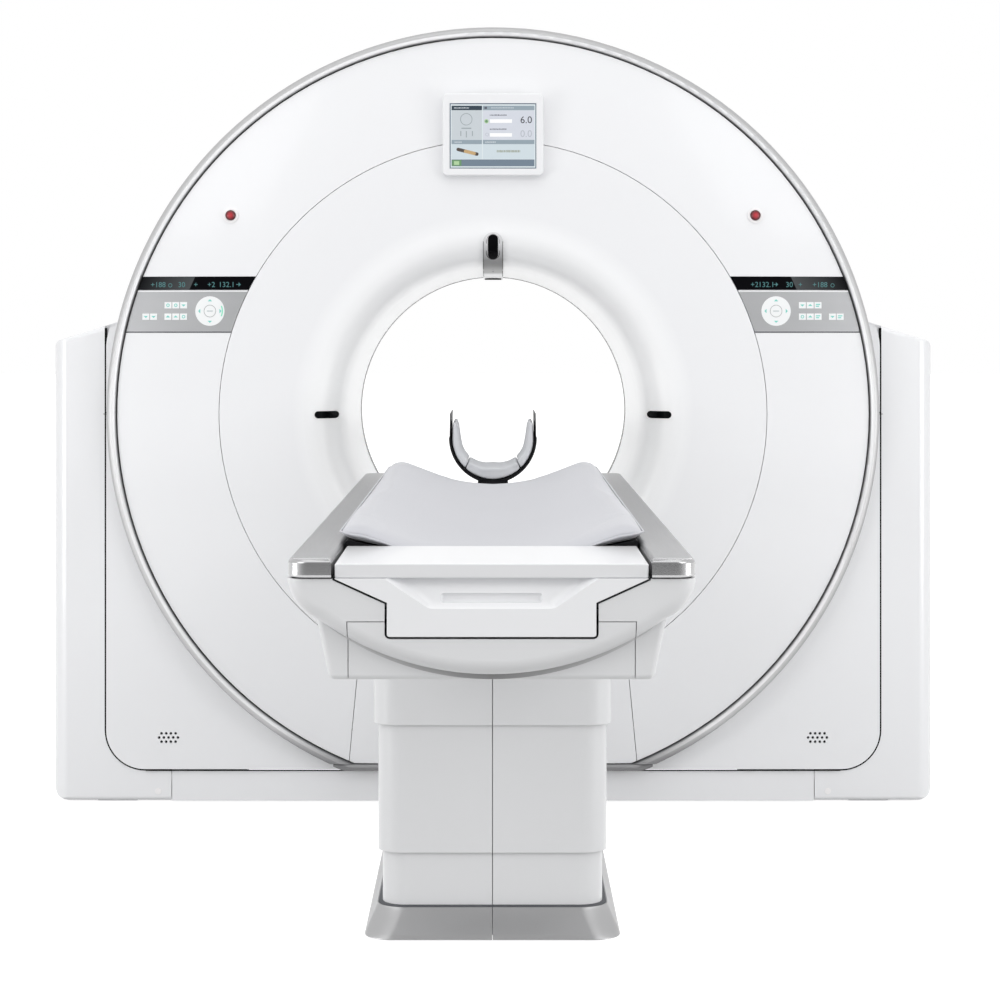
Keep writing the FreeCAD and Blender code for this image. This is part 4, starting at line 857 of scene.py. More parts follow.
def parted(bm):
    """The two halves of a shell, with a hairline between them."""
    sides = []
    for side in (-1, 1):
        half = bm.copy()
        whole = half.verts[:] + half.edges[:] + half.faces[:]
        bmesh.ops.bisect_plane(half, geom=whole, plane_co=(side * HAIRLINE / 2, 0, 0),
                               plane_no=(side, 0, 0), clear_inner=True)
        sides.append(half)
    bm.free()
    return joined(*sides)


def sleeve(node, name, body):
    """An open rounded tube where a sleeve is, in its two halves."""
    low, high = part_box(node)
    tube = brick((low.x, high.x), (low.y, high.y), (low.z, high.z))
    soften(tube, SLEEVE_CORNER, lambda mid, way: abs(way.z) > 0.9, 10)
    tube.normal_update()
    ends = [f for f in tube.faces if abs(f.normal.z) > 0.9]
    bmesh.ops.delete(tube, geom=ends, context="FACES_ONLY")
    place(parted(tube), name, body, "white_cover", node, material=couch_white_with_painted_shade, wall=0.004, edge=0.0012)


sleeve("lower_sleeve", "sleeve_low", "fixed")
sleeve("middle_sleeve", "sleeve_middle", "middle_sleeve")
sleeve("upper_sleeve", "sleeve_high", "couch_top")

# %% Skirt
COLUMN_Y = (-1.735, -0.945)
COLUMN_HALF = 0.218
SKIRT_ROWS = ((0.002, 0.2512), (0.0045, 0.2512), (0.012, 0.2482), (0.022, 0.2437), (0.036, 0.2367),
              (0.052, 0.2297), (0.058, 0.2282))
COLLAR_ROWS = ((0.0575, 0.2262, (COLUMN_Y[0] - 0.0130, COLUMN_Y[1] + 0.0160)), (0.0597, 0.2186, COLUMN_Y))


def rounded_loop(bm, half, y, z):
    """The edges of a rounded rectangle at one height."""
    made = bmesh.ops.create_grid(bm, x_segments=1, y_segments=1, size=0.5)["verts"]
    bmesh.ops.scale(bm, vec=(2 * half, y[1] - y[0], 1), verts=made)
    bmesh.ops.translate(bm, vec=(0, (y[0] + y[1]) / 2, z), verts=made)
    bmesh.ops.bevel(bm, geom=made, offset=0.056, offset_type="OFFSET", affect="VERTICES", segments=10,
                    profile=0.5, material=-1)
    face = [f for f in bm.faces if len(f.verts) > 4][0]
    edges = face.edges[:]
    bmesh.ops.delete(bm, geom=[face], context="FACES_ONLY")
    return edges


def bridged(rows):
    """A shell of rounded rectangles, each a height, a half width and a depth, bridged to each other."""
    bm = bmesh.new()
    loops = [rounded_loop(bm, half, y, z) for z, half, y in rows]
    for lower, upper in zip(loops, loops[1:]):
        bmesh.ops.bridge_loops(bm, edges=lower + upper)
    bmesh.ops.recalc_face_normals(bm, faces=bm.faces)
    return bm


flare = []
for z, half in SKIRT_ROWS:
    grow = half - COLUMN_HALF
    flare.append((z, half, (COLUMN_Y[0] - 1.55 * grow, COLUMN_Y[1] + 1.9 * grow)))
place(parted(bridged(flare)), "skirt_flare", "fixed", "silver_trim", "base_skirt", material=skirt_silver,
      wall=0.004)
place(bridged(COLLAR_ROWS), "skirt_collar", "fixed", "dark_plastic", material=finishes["dark_metal"],
      wall=0.0015)

# %% [markdown]
# ## Soft pieces
# The mattress pad is coated cloth over foam. It is thin at the seam round its edge and full inside, and it
# lies in the cradle's trough, so its sides stand up like wings. Two grids that meet at the seam give that
# form. A short cloth simulation with a little air pressure then lets the cover swell where nothing holds it,
# and a welt is sewn round the edge last, because it is finer than the cloth's cells.

# %% The pad's form
PAD_HALF = 0.2437
PAD_Y = (-2.674, -0.728)
PAD_MIDDLE = sum(PAD_Y) / 2
PAD_REACH = (PAD_Y[1] - PAD_Y[0]) / 2
PAD_CELL = 0.010
PAD_CORNER = 0.022
PAD_EDGE = 0.030
TROUGH_HALF, TROUGH_R = 0.174, 0.4453


def pad_heights(x):
    """Lower face, seam and upper face of the full pad at a distance from the middle line."""
    x = abs(x)
    inside = min(x, TROUGH_HALF)
    low = 0.8086 + TROUGH_R - math.sqrt(TROUGH_R ** 2 - inside ** 2) + 0.221 * (x - inside)
    high = 0.8265 + 0.0535 * min(1.0, x / 0.205) ** 1.8
    return low, low + 0.38 * (high - low), high


def fullness(x, y):
    """How full the pad is: 0 at its seam and 1 inside."""
    inward = [min(1.0, max(0.0, gap / PAD_EDGE)) for gap in (PAD_HALF - abs(x), PAD_REACH - abs(y))]
    return math.prod(math.sqrt(1 - (1 - part) ** 2) for part in inward)


def rounded_plan(x, y):
    """A point of the pad's rectangle once its corners are round."""
    a, b = abs(x) - PAD_HALF + PAD_CORNER, abs(y) - PAD_REACH + PAD_CORNER
    if a > 0 and b > 0:
        x = math.copysign(abs(x) - a + a * math.sqrt(1 - b * b / (2 * PAD_CORNER ** 2)), x)
        y = math.copysign(abs(y) - b + b * math.sqrt(1 - a * a / (2 * PAD_CORNER ** 2)), y)
    return x, y


def pad_face(upper):
    """One face of the pad as a grid."""
    bm = bmesh.new()
    cells = [round(2 * half / PAD_CELL) for half in (PAD_HALF, PAD_REACH)]
    bmesh.ops.create_grid(bm, x_segments=cells[0], y_segments=cells[1], size=1.0)
    for vert in bm.verts:
        x, y = vert.co.x * PAD_HALF, vert.co.y * PAD_REACH
        low, seam, high = pad_heights(x)
        z = seam + ((high if upper else low) - seam) * fullness(x, y)
        x, y = rounded_plan(x, y)
        vert.co = (x, PAD_MIDDLE + y, z)
    return bm


pad_form = joined(pad_face(True), pad_face(False))
bmesh.ops.remove_doubles(pad_form, verts=pad_form.verts, dist=1e-5)
bmesh.ops.recalc_face_normals(pad_form, faces=pad_form.faces)
open_edges = sum(len(e.link_faces) != 2 for e in pad_form.edges)
print("pad form", len(pad_form.faces), "faces, open edges", open_edges)


# %% Cloth with a little pressure
def swollen(thing, holds, cap, frames=20):
    """Let a closed cover swell; a test says which points are held, and a cap limits the rest."""
    held = thing.vertex_groups.new(name="held")
    held.add([v.index for v in thing.data.vertices if holds(v.co)], 1.0, "REPLACE")
    before = [v.co.copy() for v in thing.data.vertices]
    cloth = thing.modifiers.new("cloth", "CLOTH")
    cloth.settings.use_pressure = True
    cloth.settings.uniform_pressure_force = 4.0
    cloth.settings.vertex_group_mass = "held"
    cloth.settings.effector_weights.gravity = 0.0
    cloth.collision_settings.use_collision = False
    for number in range(1, frames + 1):
        bpy.context.scene.frame_set(number)
    settle(thing)
    bpy.context.scene.frame_set(1)
    furthest = 0.0
    for vert, start in zip(thing.data.vertices, before):
        step = vert.co - start
        furthest = max(furthest, step.length)
        if step.length > cap:
            vert.co = start + step.normalized() * cap
    print(thing.name, "swelled", round(furthest * 1000, 1), "mm, held to", round(cap * 1000, 1))


def refined(thing):
    """One level of subdivision, worked in."""
    smooth = thing.modifiers.new("smooth", "SUBSURF")
    smooth.levels = smooth.render_levels = 1
    settle(thing)
    bm = bmesh.new()
    bm.from_mesh(thing.data)
    bpy.data.objects.remove(thing)
    return bm


def from_curve(curve, merge):
    """The mesh of a curve, its doubles merged."""
    holder = bpy.data.objects.new("curve", curve)
    bm = bmesh.new()
    bm.from_mesh(holder.to_mesh())
    holder.to_mesh_clear()
    bpy.data.objects.remove(holder)
    bmesh.ops.remove_doubles(bm, verts=bm.verts, dist=merge)
    return bm


def tube(points, radius):
    """A closed round tube along points."""
    path = bpy.data.curves.new("path", "CURVE")
    path.dimensions = "3D"
    path.bevel_depth = radius
    path.bevel_resolution = 2
    line = path.splines.new("POLY")
    line.points.add(len(points) - 1)
    line.use_cyclic_u = True
    for spot, place_at in zip(line.points, points):
        spot.co = (*place_at, 1.0)
    bm = from_curve(path, 1e-6)
    bmesh.ops.recalc_face_normals(bm, faces=bm.faces)
    return bm


def seam_path():
    """The line of the pad's seam, point by point round its edge."""
    steps = 60
    corners = ((-1, -1), (1, -1), (1, 1), (-1, 1))
    path = []
    for (ax, ay), (bx, by) in zip(corners, corners[1:] + corners[:1]):
        for i in range(steps):
            part = i / steps
            x, y = (ax + (bx - ax) * part) * PAD_HALF, (ay + (by - ay) * part) * PAD_REACH
            seam = pad_heights(x)[1]
            x, y = rounded_plan(x, y)
            path.append((x, PAD_MIDDLE + y, seam))
    return path


pad = loose(pad_form, "pad")
swollen(pad, lambda co: co.z < pad_heights(co.x)[1] + 0.0004, 0.003)
cushion = place(refined(pad), "mattress_cushion", "cradle", "pad_cover", "mattress_pad", sharp=80)
place(tube(seam_path(), 0.0019), "mattress_welt", "cradle", "pad_cover", sharp=80)

# %% [markdown]
# The head holder is a black shell, thin at its two rims and thicker below, with three foam pads inside. The
# pads are cut from one U, and each is rounded by remeshing it before its cover swells.

# %% Head holder and its pads
HOLDER_Y = (-0.705, -0.445)
SHELL_TOP = 0.9928


def u_shape(outer, inner, y):
    """A block between an outer and an inner line, each given for the right half from the middle up."""
    left = [(-x, z) for x, z in reversed(outer)]
    back = [(-x, z) for x, z in inner]
    return slab(left + outer[1:] + list(reversed(inner)) + back[1:], y)


outer = [(0.0, 0.8285), (0.022, 0.8285)] + arc((0.022, 0.8285), (0.0816, 0.8672), (0.1046, 0.934), 28)
outer += [(0.1030, 0.938), (0.1018, SHELL_TOP)]
inner = [(0.0, 0.8338)] + arc((0.0, 0.8338), (0.0775, 0.8705), (0.0995, 0.932), 32)
inner += [(0.1003, 0.940), (0.0996, SHELL_TOP)]
shell = u_shape(outer, inner, HOLDER_Y)
stem = brick((-0.036, 0.036), (-0.718, -0.640), (0.7945, 0.830))
tongue = brick((-0.060, 0.060), (-0.800, -0.690), (0.7945, 0.8031))
place(joined(shell, stem, tongue), "holder_shell", "cradle", "carbon_shell", "head_holder", edge=0.0008)

outer = [(0.0, 0.8352)] + arc((0.0, 0.8352), (0.0755, 0.872), (0.0974, 0.930), 28) + [(0.0952, 0.972)]
inner = [(0.0, 0.863)] + arc((0.0, 0.863), (0.052, 0.873), (0.077, 0.905), 16)
inner += arc((0.077, 0.905), (0.083, 0.937), (0.0862, 0.972), 8)
lining = u_shape(outer, inner, (-0.701, -0.449))
pads = []
side_wedge = [(0.0957, 0.80), (0.20, 0.80), (0.20, 1.1), (0.0007, 1.1), (0.0007, 1.0)]
bottom_wedge = [(-0.0943, 0.80), (0.0943, 0.80), (0.0, 0.9985)]
for wedge in (bottom_wedge, side_wedge, [(-x, z) for x, z in side_wedge]):
    pad = loose(carved(lining.copy(), [slab(wedge, (-0.8, -0.3))], "INTERSECT"), "liner")
    grain = pad.modifiers.new("cells", "REMESH")
    grain.mode = "VOXEL"
    grain.voxel_size = 0.0035
    even = pad.modifiers.new("even", "SMOOTH")
    even.iterations = 6
    settle(pad)
    swollen(pad, lambda co: math.hypot(co.x, co.z - 0.9305) > 0.092 or co.z < 0.838, 0.0025)
    pads.append(refined(pad))
lining.free()
place(joined(*pads), "liner_pads", "cradle", "liner_pad", "head_liner", sharp=80)

# %% [markdown]
# ## Display and controls
# The display hangs over the bore and lights up: pale fields between slate bars, two readings with a number
# each, and plain signs. All of it is thin plates in front of the screen, one colour per object, measured in
# millimetres from the screen's upper left corner.

# %% Colours that glow a little
def glowing(name, red, green, blue, glow=0.5):
    """A printed or lit colour, as it looks on screen; a share shines by itself, on printed marks a painted
    glow.
    """
    colour = [((c / 255 + 0.055) / 1.055) ** 2.4 if c > 10 else c / 3294.6 for c in (red, green, blue)]
    material = finish(name, [c * (1 - glow) for c in colour], 0.35, mottle=0.02, patch=60, depth=0.002)
    shader = opened(material)[1]
    shader.inputs["Emission Color"].default_value = (*colour, 1)
    shader.inputs["Emission Strength"].default_value = glow
    return material


def band(x, z, r, width, y, start=0.0, turn=math.tau, sides=32):
    """A ring, or a part of one, that faces the front: a small oblong spun about the middle."""
    whole = turn > math.tau - 0.01
    bm = bmesh.new()
    section = ((r, y[0]), (r + width, y[0]), (r + width, y[1]), (r, y[1]))
    corners = [bm.verts.new((out, depth, 0)) for out, depth in section]
    edges = [bm.edges.new(pair) for pair in zip(corners, corners[1:] + corners[:1])]
    bmesh.ops.rotate(bm, matrix=Matrix.Rotation(-start, 3, "Y"), verts=corners)
    bmesh.ops.spin(bm, geom=corners + edges, axis=(0, -1, 0), angle=turn, steps=sides, use_merge=whole)
    bmesh.ops.holes_fill(bm, edges=[e for e in bm.edges if e.is_boundary], sides=4)
    bmesh.ops.translate(bm, vec=(x, 0, z), verts=bm.verts)
    bmesh.ops.recalc_face_normals(bm, faces=bm.faces)
    return bm


def lettering(text, height, x, z, y):
    """A number as a thin plate whose middle is at x and z."""
    curve = bpy.data.curves.new("text", "FONT")
    curve.body = text
    curve.size = height / 0.70
    curve.align_x = "CENTER"
    curve.extrude = (y[1] - y[0]) / 2
    curve.resolution_u = 3
    bm = from_curve(curve, 1e-7)
    bmesh.ops.rotate(bm, matrix=Matrix.Rotation(math.radians(90), 3, "X"), verts=bm.verts)
    bmesh.ops.translate(bm, vec=(x, (y[0] + y[1]) / 2, z - height / 2), verts=bm.verts)
    return bm


# %% The display's picture
screen_low, screen_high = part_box("display_screen")
SCREEN_LEFT, SCREEN_TOP, SCREEN_Y = screen_low.x, screen_high.z, screen_low.y
SHEET = 0.00016


def spot(x, down):
    """A place on the screen, from its upper left corner."""
    return SCREEN_LEFT + x * MM, SCREEN_TOP - down * MM


def level(step):
    """The depth of a plate on the screen; each step lies in front of the last."""
    return SCREEN_Y - (step + 1) * SHEET, SCREEN_Y - step * SHEET + 0.00005


def field(x0, x1, y0, y1, step):
    """A rectangle on the screen."""
    (left, top), (right, low) = spot(x0, y0), spot(x1, y1)
    return brick((left, right), level(step), (low, top))


def dashes(x0, x1, y0, y1, step, seed):
    """A line of small writing, too fine to read: short strokes of uneven length."""
    chance = random.Random(seed)
    strokes, x = [], x0
    while x < x1 - 1:
        long = chance.uniform(1.4, 3.6)
        strokes.append(field(x, min(x1, x + long), y0 + chance.uniform(0, 0.8), y1, step))
        x += long + chance.uniform(0.7, 1.3)
    return joined(*strokes)


LEFT, RIGHT = (4.5, 80.0), (82.2, 210.0)
TITLE, UPPER, DIVIDER, LOWER = (5.8, 17.0), (17.7, 90.0), (90.5, 101.1), (101.6, 138.6)
GREEN_DOT, PALE_DOT, CLOCK = spot(91.0, 44.4), spot(92.6, 77.3), spot(41.0, 39.5)
picture = {
    ("frame", (220, 229, 232)): [field(2.2, 212.4, 2.2, 159.3, 0)],
    ("title", (44, 60, 73)): [field(*LEFT, *TITLE, 1)],
    ("bars", (146, 161, 171)): [field(*RIGHT, *TITLE, 1), field(*LEFT, *DIVIDER, 1),
                                field(*RIGHT, *DIVIDER, 1)],
    ("upper_left", (199, 206, 211)): [field(*LEFT, *UPPER, 1)],
    ("upper_right", (211, 215, 224)): [field(*RIGHT, *UPPER, 1)],
    ("lower", (206, 218, 224)): [field(*LEFT, *LOWER, 1), field(*RIGHT, *LOWER, 1)],
    ("bottom", (112, 128, 143)): [field(4.5, 210.0, 139.2, 156.0, 1)],
    ("green", (104, 146, 104)): [field(5.5, 29.0, 140.2, 155.0, 2), drum(*GREEN_DOT, 0.0034, level(2))],
    ("green_light", (176, 208, 160)): [field(10.5, 23.5, 143.4, 152.4, 3),
                                       band(*GREEN_DOT, 0.0036, 0.0018, level(2))],
    ("white", (252, 253, 253)): [field(99.6, 154.4, 39.5, 48.4, 2), field(99.6, 154.4, 73.8, 82.6, 2)],
    ("writing_dark", (84, 88, 100)): [dashes(99.3, 141.0, 27.6, 30.4, 2, 1),
                                      dashes(99.3, 141.0, 62.3, 65.1, 2, 2),
                                      field(86.0, 92.4, 8.6, 14.0, 2)],
    ("writing_light", (205, 213, 218)): [dashes(10.7, 47.7, 9.6, 12.6, 2, 3),
                                         dashes(103.0, 160.0, 9.8, 12.2, 2, 4),
                                         dashes(12.0, 31.0, 94.4, 97.4, 2, 5),
                                         dashes(88.0, 116.0, 94.4, 97.4, 2, 6)],
    ("writing_olive", (158, 164, 150)): [dashes(116.7, 176.5, 115.6, 121.4, 2, 7)],
    ("number_dark", (44, 44, 54)): [lettering("6.0", 0.0172, *spot(189.5, 40.4), level(2))],
    ("number_pale", (182, 187, 196)): [lettering("0.0", 0.0172, *spot(189.5, 74.8), level(2)),
                                       band(*PALE_DOT, 0.0032, 0.0011, level(2))],
    ("sign", (152, 162, 167)): [band(*CLOCK, 0.0135, 0.0016, level(2)), field(29.0, 53.5, 60.5, 63.2, 2),
                                field(26.4, 28.6, 68.5, 81.0, 2), field(40.0, 42.2, 68.5, 84.5, 2),
                                field(55.0, 57.2, 68.5, 81.0, 2)],
}


def on_screen(bm, name, colour):
    """A plate or several on the screen, in one colour."""
    place(bm, f"screen_{name}", "fixed", "screen_glass", material=glowing(f"screen_{name}", *colour))


for (name, colour), plates in picture.items():
    on_screen(joined(*plates), name, colour)
x, z = spot(44.0, 120.0)
for name, colour, length, shift, step in (("bolster", (78, 68, 62), 0.056, 0.0, 2),
                                          ("bolster_top", (196, 164, 118), 0.030, 0.006, 3)):
    bar = brick((x - length / 2 + shift, x + length / 2 + shift), level(step), (z - 0.0042, z + 0.0042))
    soften(bar, 0.0038, lambda mid, way: abs(way.y) > 0.9, 5)
    bmesh.ops.rotate(bar, cent=(x, 0, z), matrix=Matrix.Rotation(math.radians(14), 3, "Y"), verts=bar.verts)
    on_screen(bar, name, colour)

# %% [markdown]
# The two control panels have a touch pad and eight keys with pale green signs, under a black strip with dim
# figures. They lie on the domed cover, so each sign is laid on it: a ray along the couch finds the cover
# behind every point. The signs carry a painted glow, and the strip a painted reflection of a bright window,
# which ends in a slanting line.

# %% Signs on the control panels
def laid(bm, node, lift):
    """Move points back along the couch until they lie this far in front of a construction piece."""
    surface = bmesh.new()
    surface.from_mesh(nodes[node].data)
    cover = BVHTree.FromBMesh(surface)
    missed = 0
    for vert in bm.verts:
        hit = cover.ray_cast(Vector((vert.co.x, -1.0, vert.co.z)), Vector((0, 1, 0)))[0]
        missed += hit is None
        vert.co.y += (hit.y if hit else 0.0) - lift
    print("laid on", node, len(bm.verts), "points,", missed, "missed")
    return bm


THIN = (-0.0002, 0.0002)
LIFT = 0.0002
DIAL_X, DIAL_Z = 0.706, 1.238
DIAL_ARROW = 0.0262
KEY_ROWS = ((1.2526, (0.7726, 0.7925, 0.8124)), (1.2240, (0.7726, 0.7925, 0.8124, 0.8490, 0.8689)))


def arrow(x, z, turn):
    """A small triangle that points up, turned."""
    bm = slab([(-0.0056, -0.0020), (0.0056, -0.0020), (0.0, 0.0034)], THIN)
    bmesh.ops.rotate(bm, matrix=Matrix.Rotation(-turn, 3, "Y"), verts=bm.verts)
    bmesh.ops.translate(bm, vec=(x, 0, z), verts=bm.verts)
    return bm


def key_signs(side):
    """One simple sign on each key of a panel."""
    chance = random.Random(11 if side > 0 else 12)
    signs = []
    for z, row in KEY_ROWS:
        for x in row:
            kind = chance.choice(("bars", "arrow", "ring"))
            if kind == "bars":
                left = side * x - 0.0056
                signs.append(brick((left, left + 0.0112), THIN, (z + 0.0008, z + 0.0036)))
                signs.append(brick((left, left + 0.0082), THIN, (z - 0.0040, z - 0.0012)))
            elif kind == "arrow":
                signs.append(arrow(side * x, z, chance.choice((0.0, math.pi))))
            else:
                signs.append(band(side * x, z, 0.0024, 0.0020, THIN, sides=16))
    return signs


signs = []
for side in (-1, 1):
    signs += key_signs(side)
    x = side * DIAL_X
    signs += [arrow(x, DIAL_Z + DIAL_ARROW, 0.0), arrow(x, DIAL_Z - DIAL_ARROW, math.pi),
              arrow(x - DIAL_ARROW, DIAL_Z, math.pi / 2), arrow(x + DIAL_ARROW, DIAL_Z, -math.pi / 2)]
glow = band(-DIAL_X, DIAL_Z, 0.0300, 0.0030, THIN, -0.42, 0.84, 16)
dial_bars = [brick((x - 0.0075, x + 0.0075), THIN, (DIAL_Z - 0.0008, DIAL_Z + 0.0008))
             for x in (-DIAL_X, DIAL_X)]
# The signs are printed; a share of their colour is a painted glow.
for form, name, finish_name, colour in (
        (joined(*signs), "key_signs", "sign_mint_painted_glow", (128, 206, 196, 0.5)),
        (glow, "dial_glow", "sign_green_painted_glow", (130, 222, 190, 0.6)),
        (joined(*dial_bars), "dial_bars", "sign_grey_painted_glow", (150, 165, 168, 0.4))):
    place(laid(form, "keypads", LIFT), name, "fixed", "key_plastic", material=glowing(finish_name, *colour))

# %% The black strips
FIGURE_Z = 1.3044
figures = []
for text, x in (("+188", -0.838), ("30", -0.778), ("+", -0.742), ("+2", -0.703), ("132.1", -0.664),
                ("+2", 0.652), ("132.1", 0.682), ("30", 0.740), ("+", 0.768), ("+188", 0.818)):
    figures.append(lettering(text, 0.0130, x, FIGURE_Z, THIN))
for x in (-0.632, 0.708):
    figures.append(arrow(x, FIGURE_Z, -math.pi / 2))
    figures.append(brick((x - 0.008, x - 0.002), THIN, (FIGURE_Z - 0.0008, FIGURE_Z + 0.0008)))
for x in (-0.807, 0.850):
    figures.append(band(x, FIGURE_Z - 0.002, 0.0036, 0.0014, THIN, sides=16))
place(laid(joined(*figures), "readouts", LIFT), "readout_figures", "fixed", "dark_window",
      material=glowing("figure_cyan", 70, 122, 124, 0.8))

# Painted reflection on the black strip: a bright window that glows beyond a slanted edge and fades outwards.
PAINTED_REFLECTION_X, PAINTED_REFLECTION_TOP, PAINTED_REFLECTION_SLANT = 0.743, 1.324, 0.4545
strip = finish("readout_black_painted_reflection", (0.002, 0.002, 0.003), 0.3, mottle=0.3, patch=9, depth=0.002, specular=0.04)
tree, shader = opened(strip)
point = axes(tree)
slant = arithmetic(tree, "MULTIPLY", arithmetic(tree, "SUBTRACT", point["Z"], PAINTED_REFLECTION_TOP), -PAINTED_REFLECTION_SLANT)
outward = arithmetic(tree, "SUBTRACT", arithmetic(tree, "ABSOLUTE", point["X"]), PAINTED_REFLECTION_X)
past = arithmetic(tree, "SUBTRACT", outward, slant)
fade = mapped(tree, past, 0.0, 0.13, 0.085, 0.006)
gloss = arithmetic(tree, "MULTIPLY", mapped(tree, past, 0.0, 0.0015), fade)
shader.inputs["Emission Color"].default_value = (0.9, 0.97, 1.0, 1)
tree.links.new(gloss, shader.inputs["Emission Strength"])
nodes["readouts"].material_slots[0].material = strip
print("signs laid")

# %% [markdown]
# The laser module is a silver strip that follows the bell mouth over its lip into the bore, and its top is a
# round arch. The construction piece already has the curve, so a merged copy of it is cut to the arch. Its
# reflections are painted: its tone runs from pale to dark where it turns towards the bore, then to white
# inside, so the finish follows height. The window's rim is painted darker below, and dark lines beside the
# strip and along its lower end are painted shadows.

# %% The laser module
def by_height(name, steps, roughness, metallic):
    """A finish whose tone follows height: pairs of a height and a grey."""
    material = finish(name, (0.5, 0.5, 0.5), roughness, metallic, mottle=0.02, patch=20, depth=0.01)
    tree, shader = opened(material)
    low, high = steps[0][0], steps[-1][0]
    stops = [((height - low) / (high - low), grey) for height, grey in steps]
    rise = mapped(tree, axes(tree)["Z"], low, high)
    tree.links.new(toned(tree, rise, stops), shader.inputs["Base Color"])
    return material


def merged_copy(node):
    """A construction piece's mesh with its doubles merged."""
    bm = bmesh.new()
    bm.from_mesh(nodes[node].data)
    bmesh.ops.remove_doubles(bm, verts=bm.verts, dist=1e-6)
    return bm


ARCH_HALF, ARCH_Z, ARCH_TOP = 0.0252, 1.411, 1.4338
PILL_HALF, PILL_Z, PILL_BULGE = 0.0165, (1.3835, 1.4125), 0.0165
# Painted reflection by height on the strip, and painted shade on the window's rim, darker below.
STRIP_PAINTED_REFLECTION = ((1.300, 0.80), (1.334, 0.80), (1.338, 0.14), (1.352, 0.13), (1.378, 0.42), (1.405, 0.72))
RIM_PAINTED_SHADING = ((1.36, 0.10), (1.39, 0.3), (1.42, 0.62))
STRIP_SCREW_Z, STRIP_SCREW_R = 1.3415, 0.0026
LINE_X, LINE_HALF, LINE_LOW_Z = 0.0242, 0.0006, 1.330

arch = [(-ARCH_HALF, 1.20), (ARCH_HALF, 1.20), (ARCH_HALF, ARCH_Z)]
arch += arc((ARCH_HALF, ARCH_Z), (0.0, ARCH_TOP), (-ARCH_HALF, ARCH_Z), 24)
strip_form = carved(merged_copy("laser_module"), [slab(arch, (-0.6, 0.3))], "INTERSECT")
place(strip_form, "laser_strip", "fixed", "silver_panel", "laser_module",
      material=by_height("module_silver_painted_reflection", STRIP_PAINTED_REFLECTION, 0.35, 0.25), edge=0.0022, sharp=50)

pill = []
for z, side in zip(PILL_Z, (1, -1)):
    half = side * PILL_HALF
    pill += arc((half, z), (0.0, z - side * PILL_BULGE), (-half, z), 12) + [(-half, sum(PILL_Z) - z)]
rim = laid(tube([(x, 0.0, z) for x, z in pill], 0.0012), "laser_module", 0.0004)
place(rim, "window_rim", "fixed", "silver_panel", material=by_height("rim_silver_painted_shading", RIM_PAINTED_SHADING, 0.25, 0.6))
screw = laid(drum(0.0, STRIP_SCREW_Z, STRIP_SCREW_R, (-0.0004, 0.0004)), "laser_module", 0.0006)
place(screw, "strip_screw", "fixed", "silver_panel", material=finishes["dark_metal"])

edge_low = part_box("laser_module")[0].z
# Painted shadows: dark lines beside the strip's raised sides and along its lower end.
lines = []
for x in (-LINE_X, LINE_X):
    line = brick((x - LINE_HALF, x + LINE_HALF), THIN, (LINE_LOW_Z, ARCH_Z))
    upright = [e for e in line.edges if abs(e.verts[0].co.z - e.verts[1].co.z) > 0.01]
    bmesh.ops.subdivide_edges(line, edges=upright, cuts=30)
    lines.append(line)
lines.append(brick((-0.0215, 0.0215), THIN, (edge_low + 0.0004, edge_low + 0.0036)))
place(laid(joined(*lines), "laser_module", 0.0004), "strip_painted_shadows", "fixed", "dark_plastic", material=rubber_and_painted_shade)

# %% [markdown]
# A dark line runs round the bore where the two halves of its lining meet: it is the scan window, a narrow
# ring that the beam passes through. The control panels have a pale bead along the top and, below, a dark band
# that is a painted shadow. Each band is cut out of a copy of its panel, so it ends exactly where the panel
# does.

# %% The scan window and the panels' beads
SCAN_R = 0.3491
BEAD_Z, SHADE_Z = (1.2862, 1.2895), (1.1842, 1.1868)
SPLIT_X, SPLIT_Z = 0.9735, (0.9783, 0.9799)
SEAM_X, SEAM_Z = (0.30, 0.875), (0.0800, 0.0826)

ring_form = drum(0.0, ISO_Z, SCAN_R, (window_low.y, window_high.y), sides=256)
ring_form.normal_update()
ends = [f for f in ring_form.faces if abs(f.normal.y) > 0.9]
bmesh.ops.delete(ring_form, geom=ends, context="FACES_ONLY")
bmesh.ops.reverse_faces(ring_form, faces=ring_form.faces)
place(ring_form, "scan_ring", "fixed", "dark_window", "scan_window", wall=0.003)


def bead(node, z, lift):
    """A level band of a panel's face, standing a little in front of it."""
    strip = carved(merged_copy(node), [brick((-1, 1), (-0.6, 0.3), z)], "INTERSECT")
    bmesh.ops.translate(strip, vec=(0, -lift, 0), verts=strip.verts)
    return strip


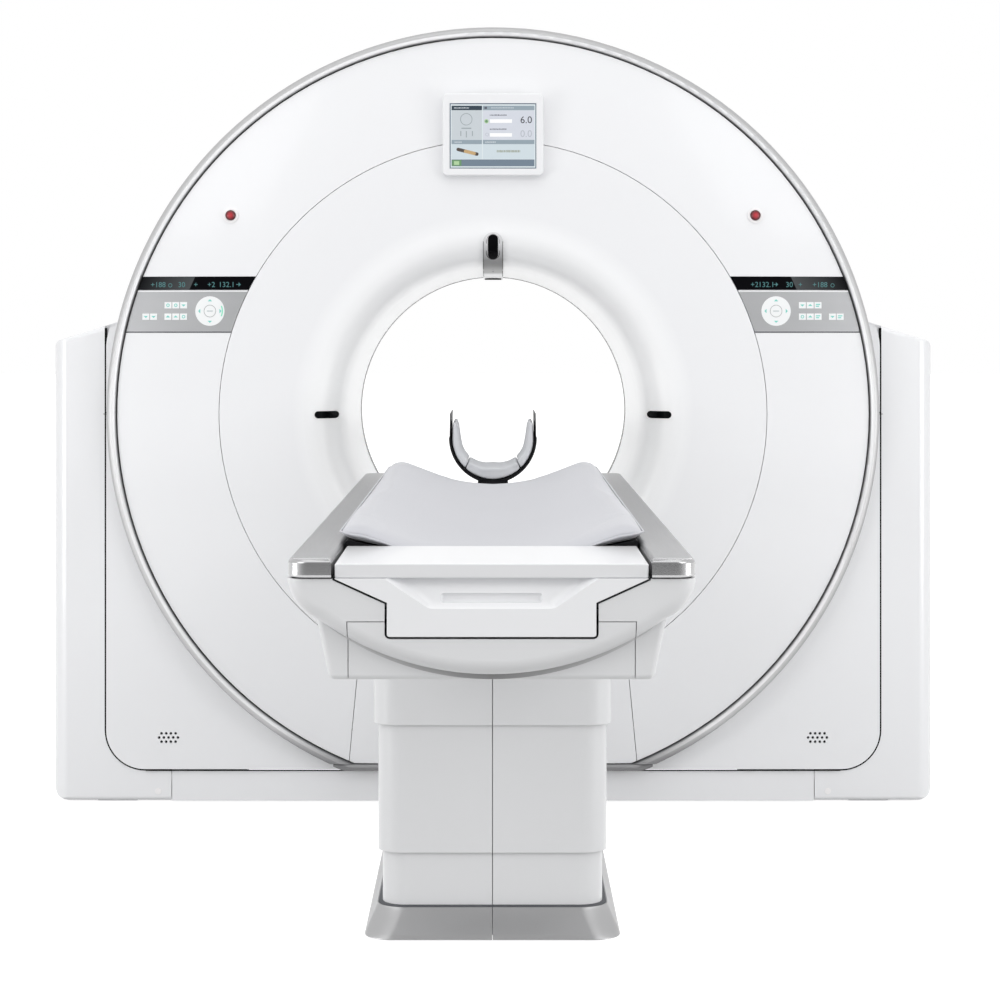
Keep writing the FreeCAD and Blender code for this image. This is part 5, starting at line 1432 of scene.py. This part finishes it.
# Each panel's dark shade band is a painted shadow along its lower seam.
for side in ("left", "right"):
    for name, z, paint in (("bead", BEAD_Z, "white_cover"), ("shade", SHADE_Z, "dark_metal")):
        place(bead(f"control_panel_{side}", z, 0.0004), f"panel_{name}_{side}", "fixed", "silver_panel",
              material=finishes[paint])
face_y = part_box("lower_corner_panel_left")[0].y
splits = []
for side in (-1, 1):
    middle = side * SPLIT_X
    splits.append(brick((middle - 0.008, middle + 0.008), (face_y - 0.0003, face_y + 0.001), SPLIT_Z))
    ends = sorted(side * end for end in SEAM_X)
    splits.append(brick(ends, (face_y - 0.0004, face_y + 0.001), SEAM_Z))
place(joined(*splits), "panel_splits", "fixed", "dark_plastic", material=rubber_and_painted_shade)

# %% [markdown]
# Each emergency stop is a red mushroom, one moulding whose rolled rim is painted dark as shade and whose
# crown is painted brighter as light, by the distance from the button's middle. The screw caps on the towers'
# feet and a sill that closes the rear below the drum are the last small pieces.

# %% Emergency stops, rear sill and screw caps
STOP_X, STOP_Z, STOP_R = 0.655, 1.477, 0.0125
# Painted shade and light on the stop: dark at its rolled rim, brighter towards its crown.
STOP_PAINTED_SHADING = ((0.0, (0.55, 0.035, 0.05)), (0.42, (0.40, 0.012, 0.022)), (0.72, (0.15, 0.002, 0.008)),
              (1.0, (0.07, 0.0, 0.003)))
red = finish("stop_red", (0.5, 0.01, 0.015), 0.35, coat=0.2, mottle=0.08, patch=60, depth=0.01)
tree, shader = opened(red)
point = axes(tree)
aside = arithmetic(tree, "SUBTRACT", arithmetic(tree, "ABSOLUTE", point["X"]), STOP_X)
out = distance(tree, aside, arithmetic(tree, "SUBTRACT", point["Z"], STOP_Z))
tree.links.new(toned(tree, mapped(tree, out, 0.0, STOP_R), STOP_PAINTED_SHADING), shader.inputs["Base Color"])
for side in ("left", "right"):
    nodes[f"estop_button_{side}"].material_slots[0].material = red

rear_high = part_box("rear_lower_cover")[1]
SILL_END, SILL_LOW_Z = (0.4125, 0.1030), 0.0120
end_x, end_z = SILL_END
sill = slab([(-end_x, end_z)] + arc((-end_x, end_z), (0.0, SILL_LOW_Z), SILL_END, 48),
            (rear_high.y - 0.006, rear_high.y - 0.001))
place(sill, "rear_sill", "fixed", "white_cover")

SCREW_X, SCREW_Z = 0.844, 0.028
caps = []
for x in (-SCREW_X, SCREW_X):
    cap = drum(x, SCREW_Z, 0.008, (tower_low.y - 0.0012, tower_low.y + 0.001))
    caps.append(soften(cap, 0.0008, lambda mid, way: mid.y < tower_low.y - 0.001, 2))
place(joined(*caps), "screw_caps", "fixed", "pale_trim")
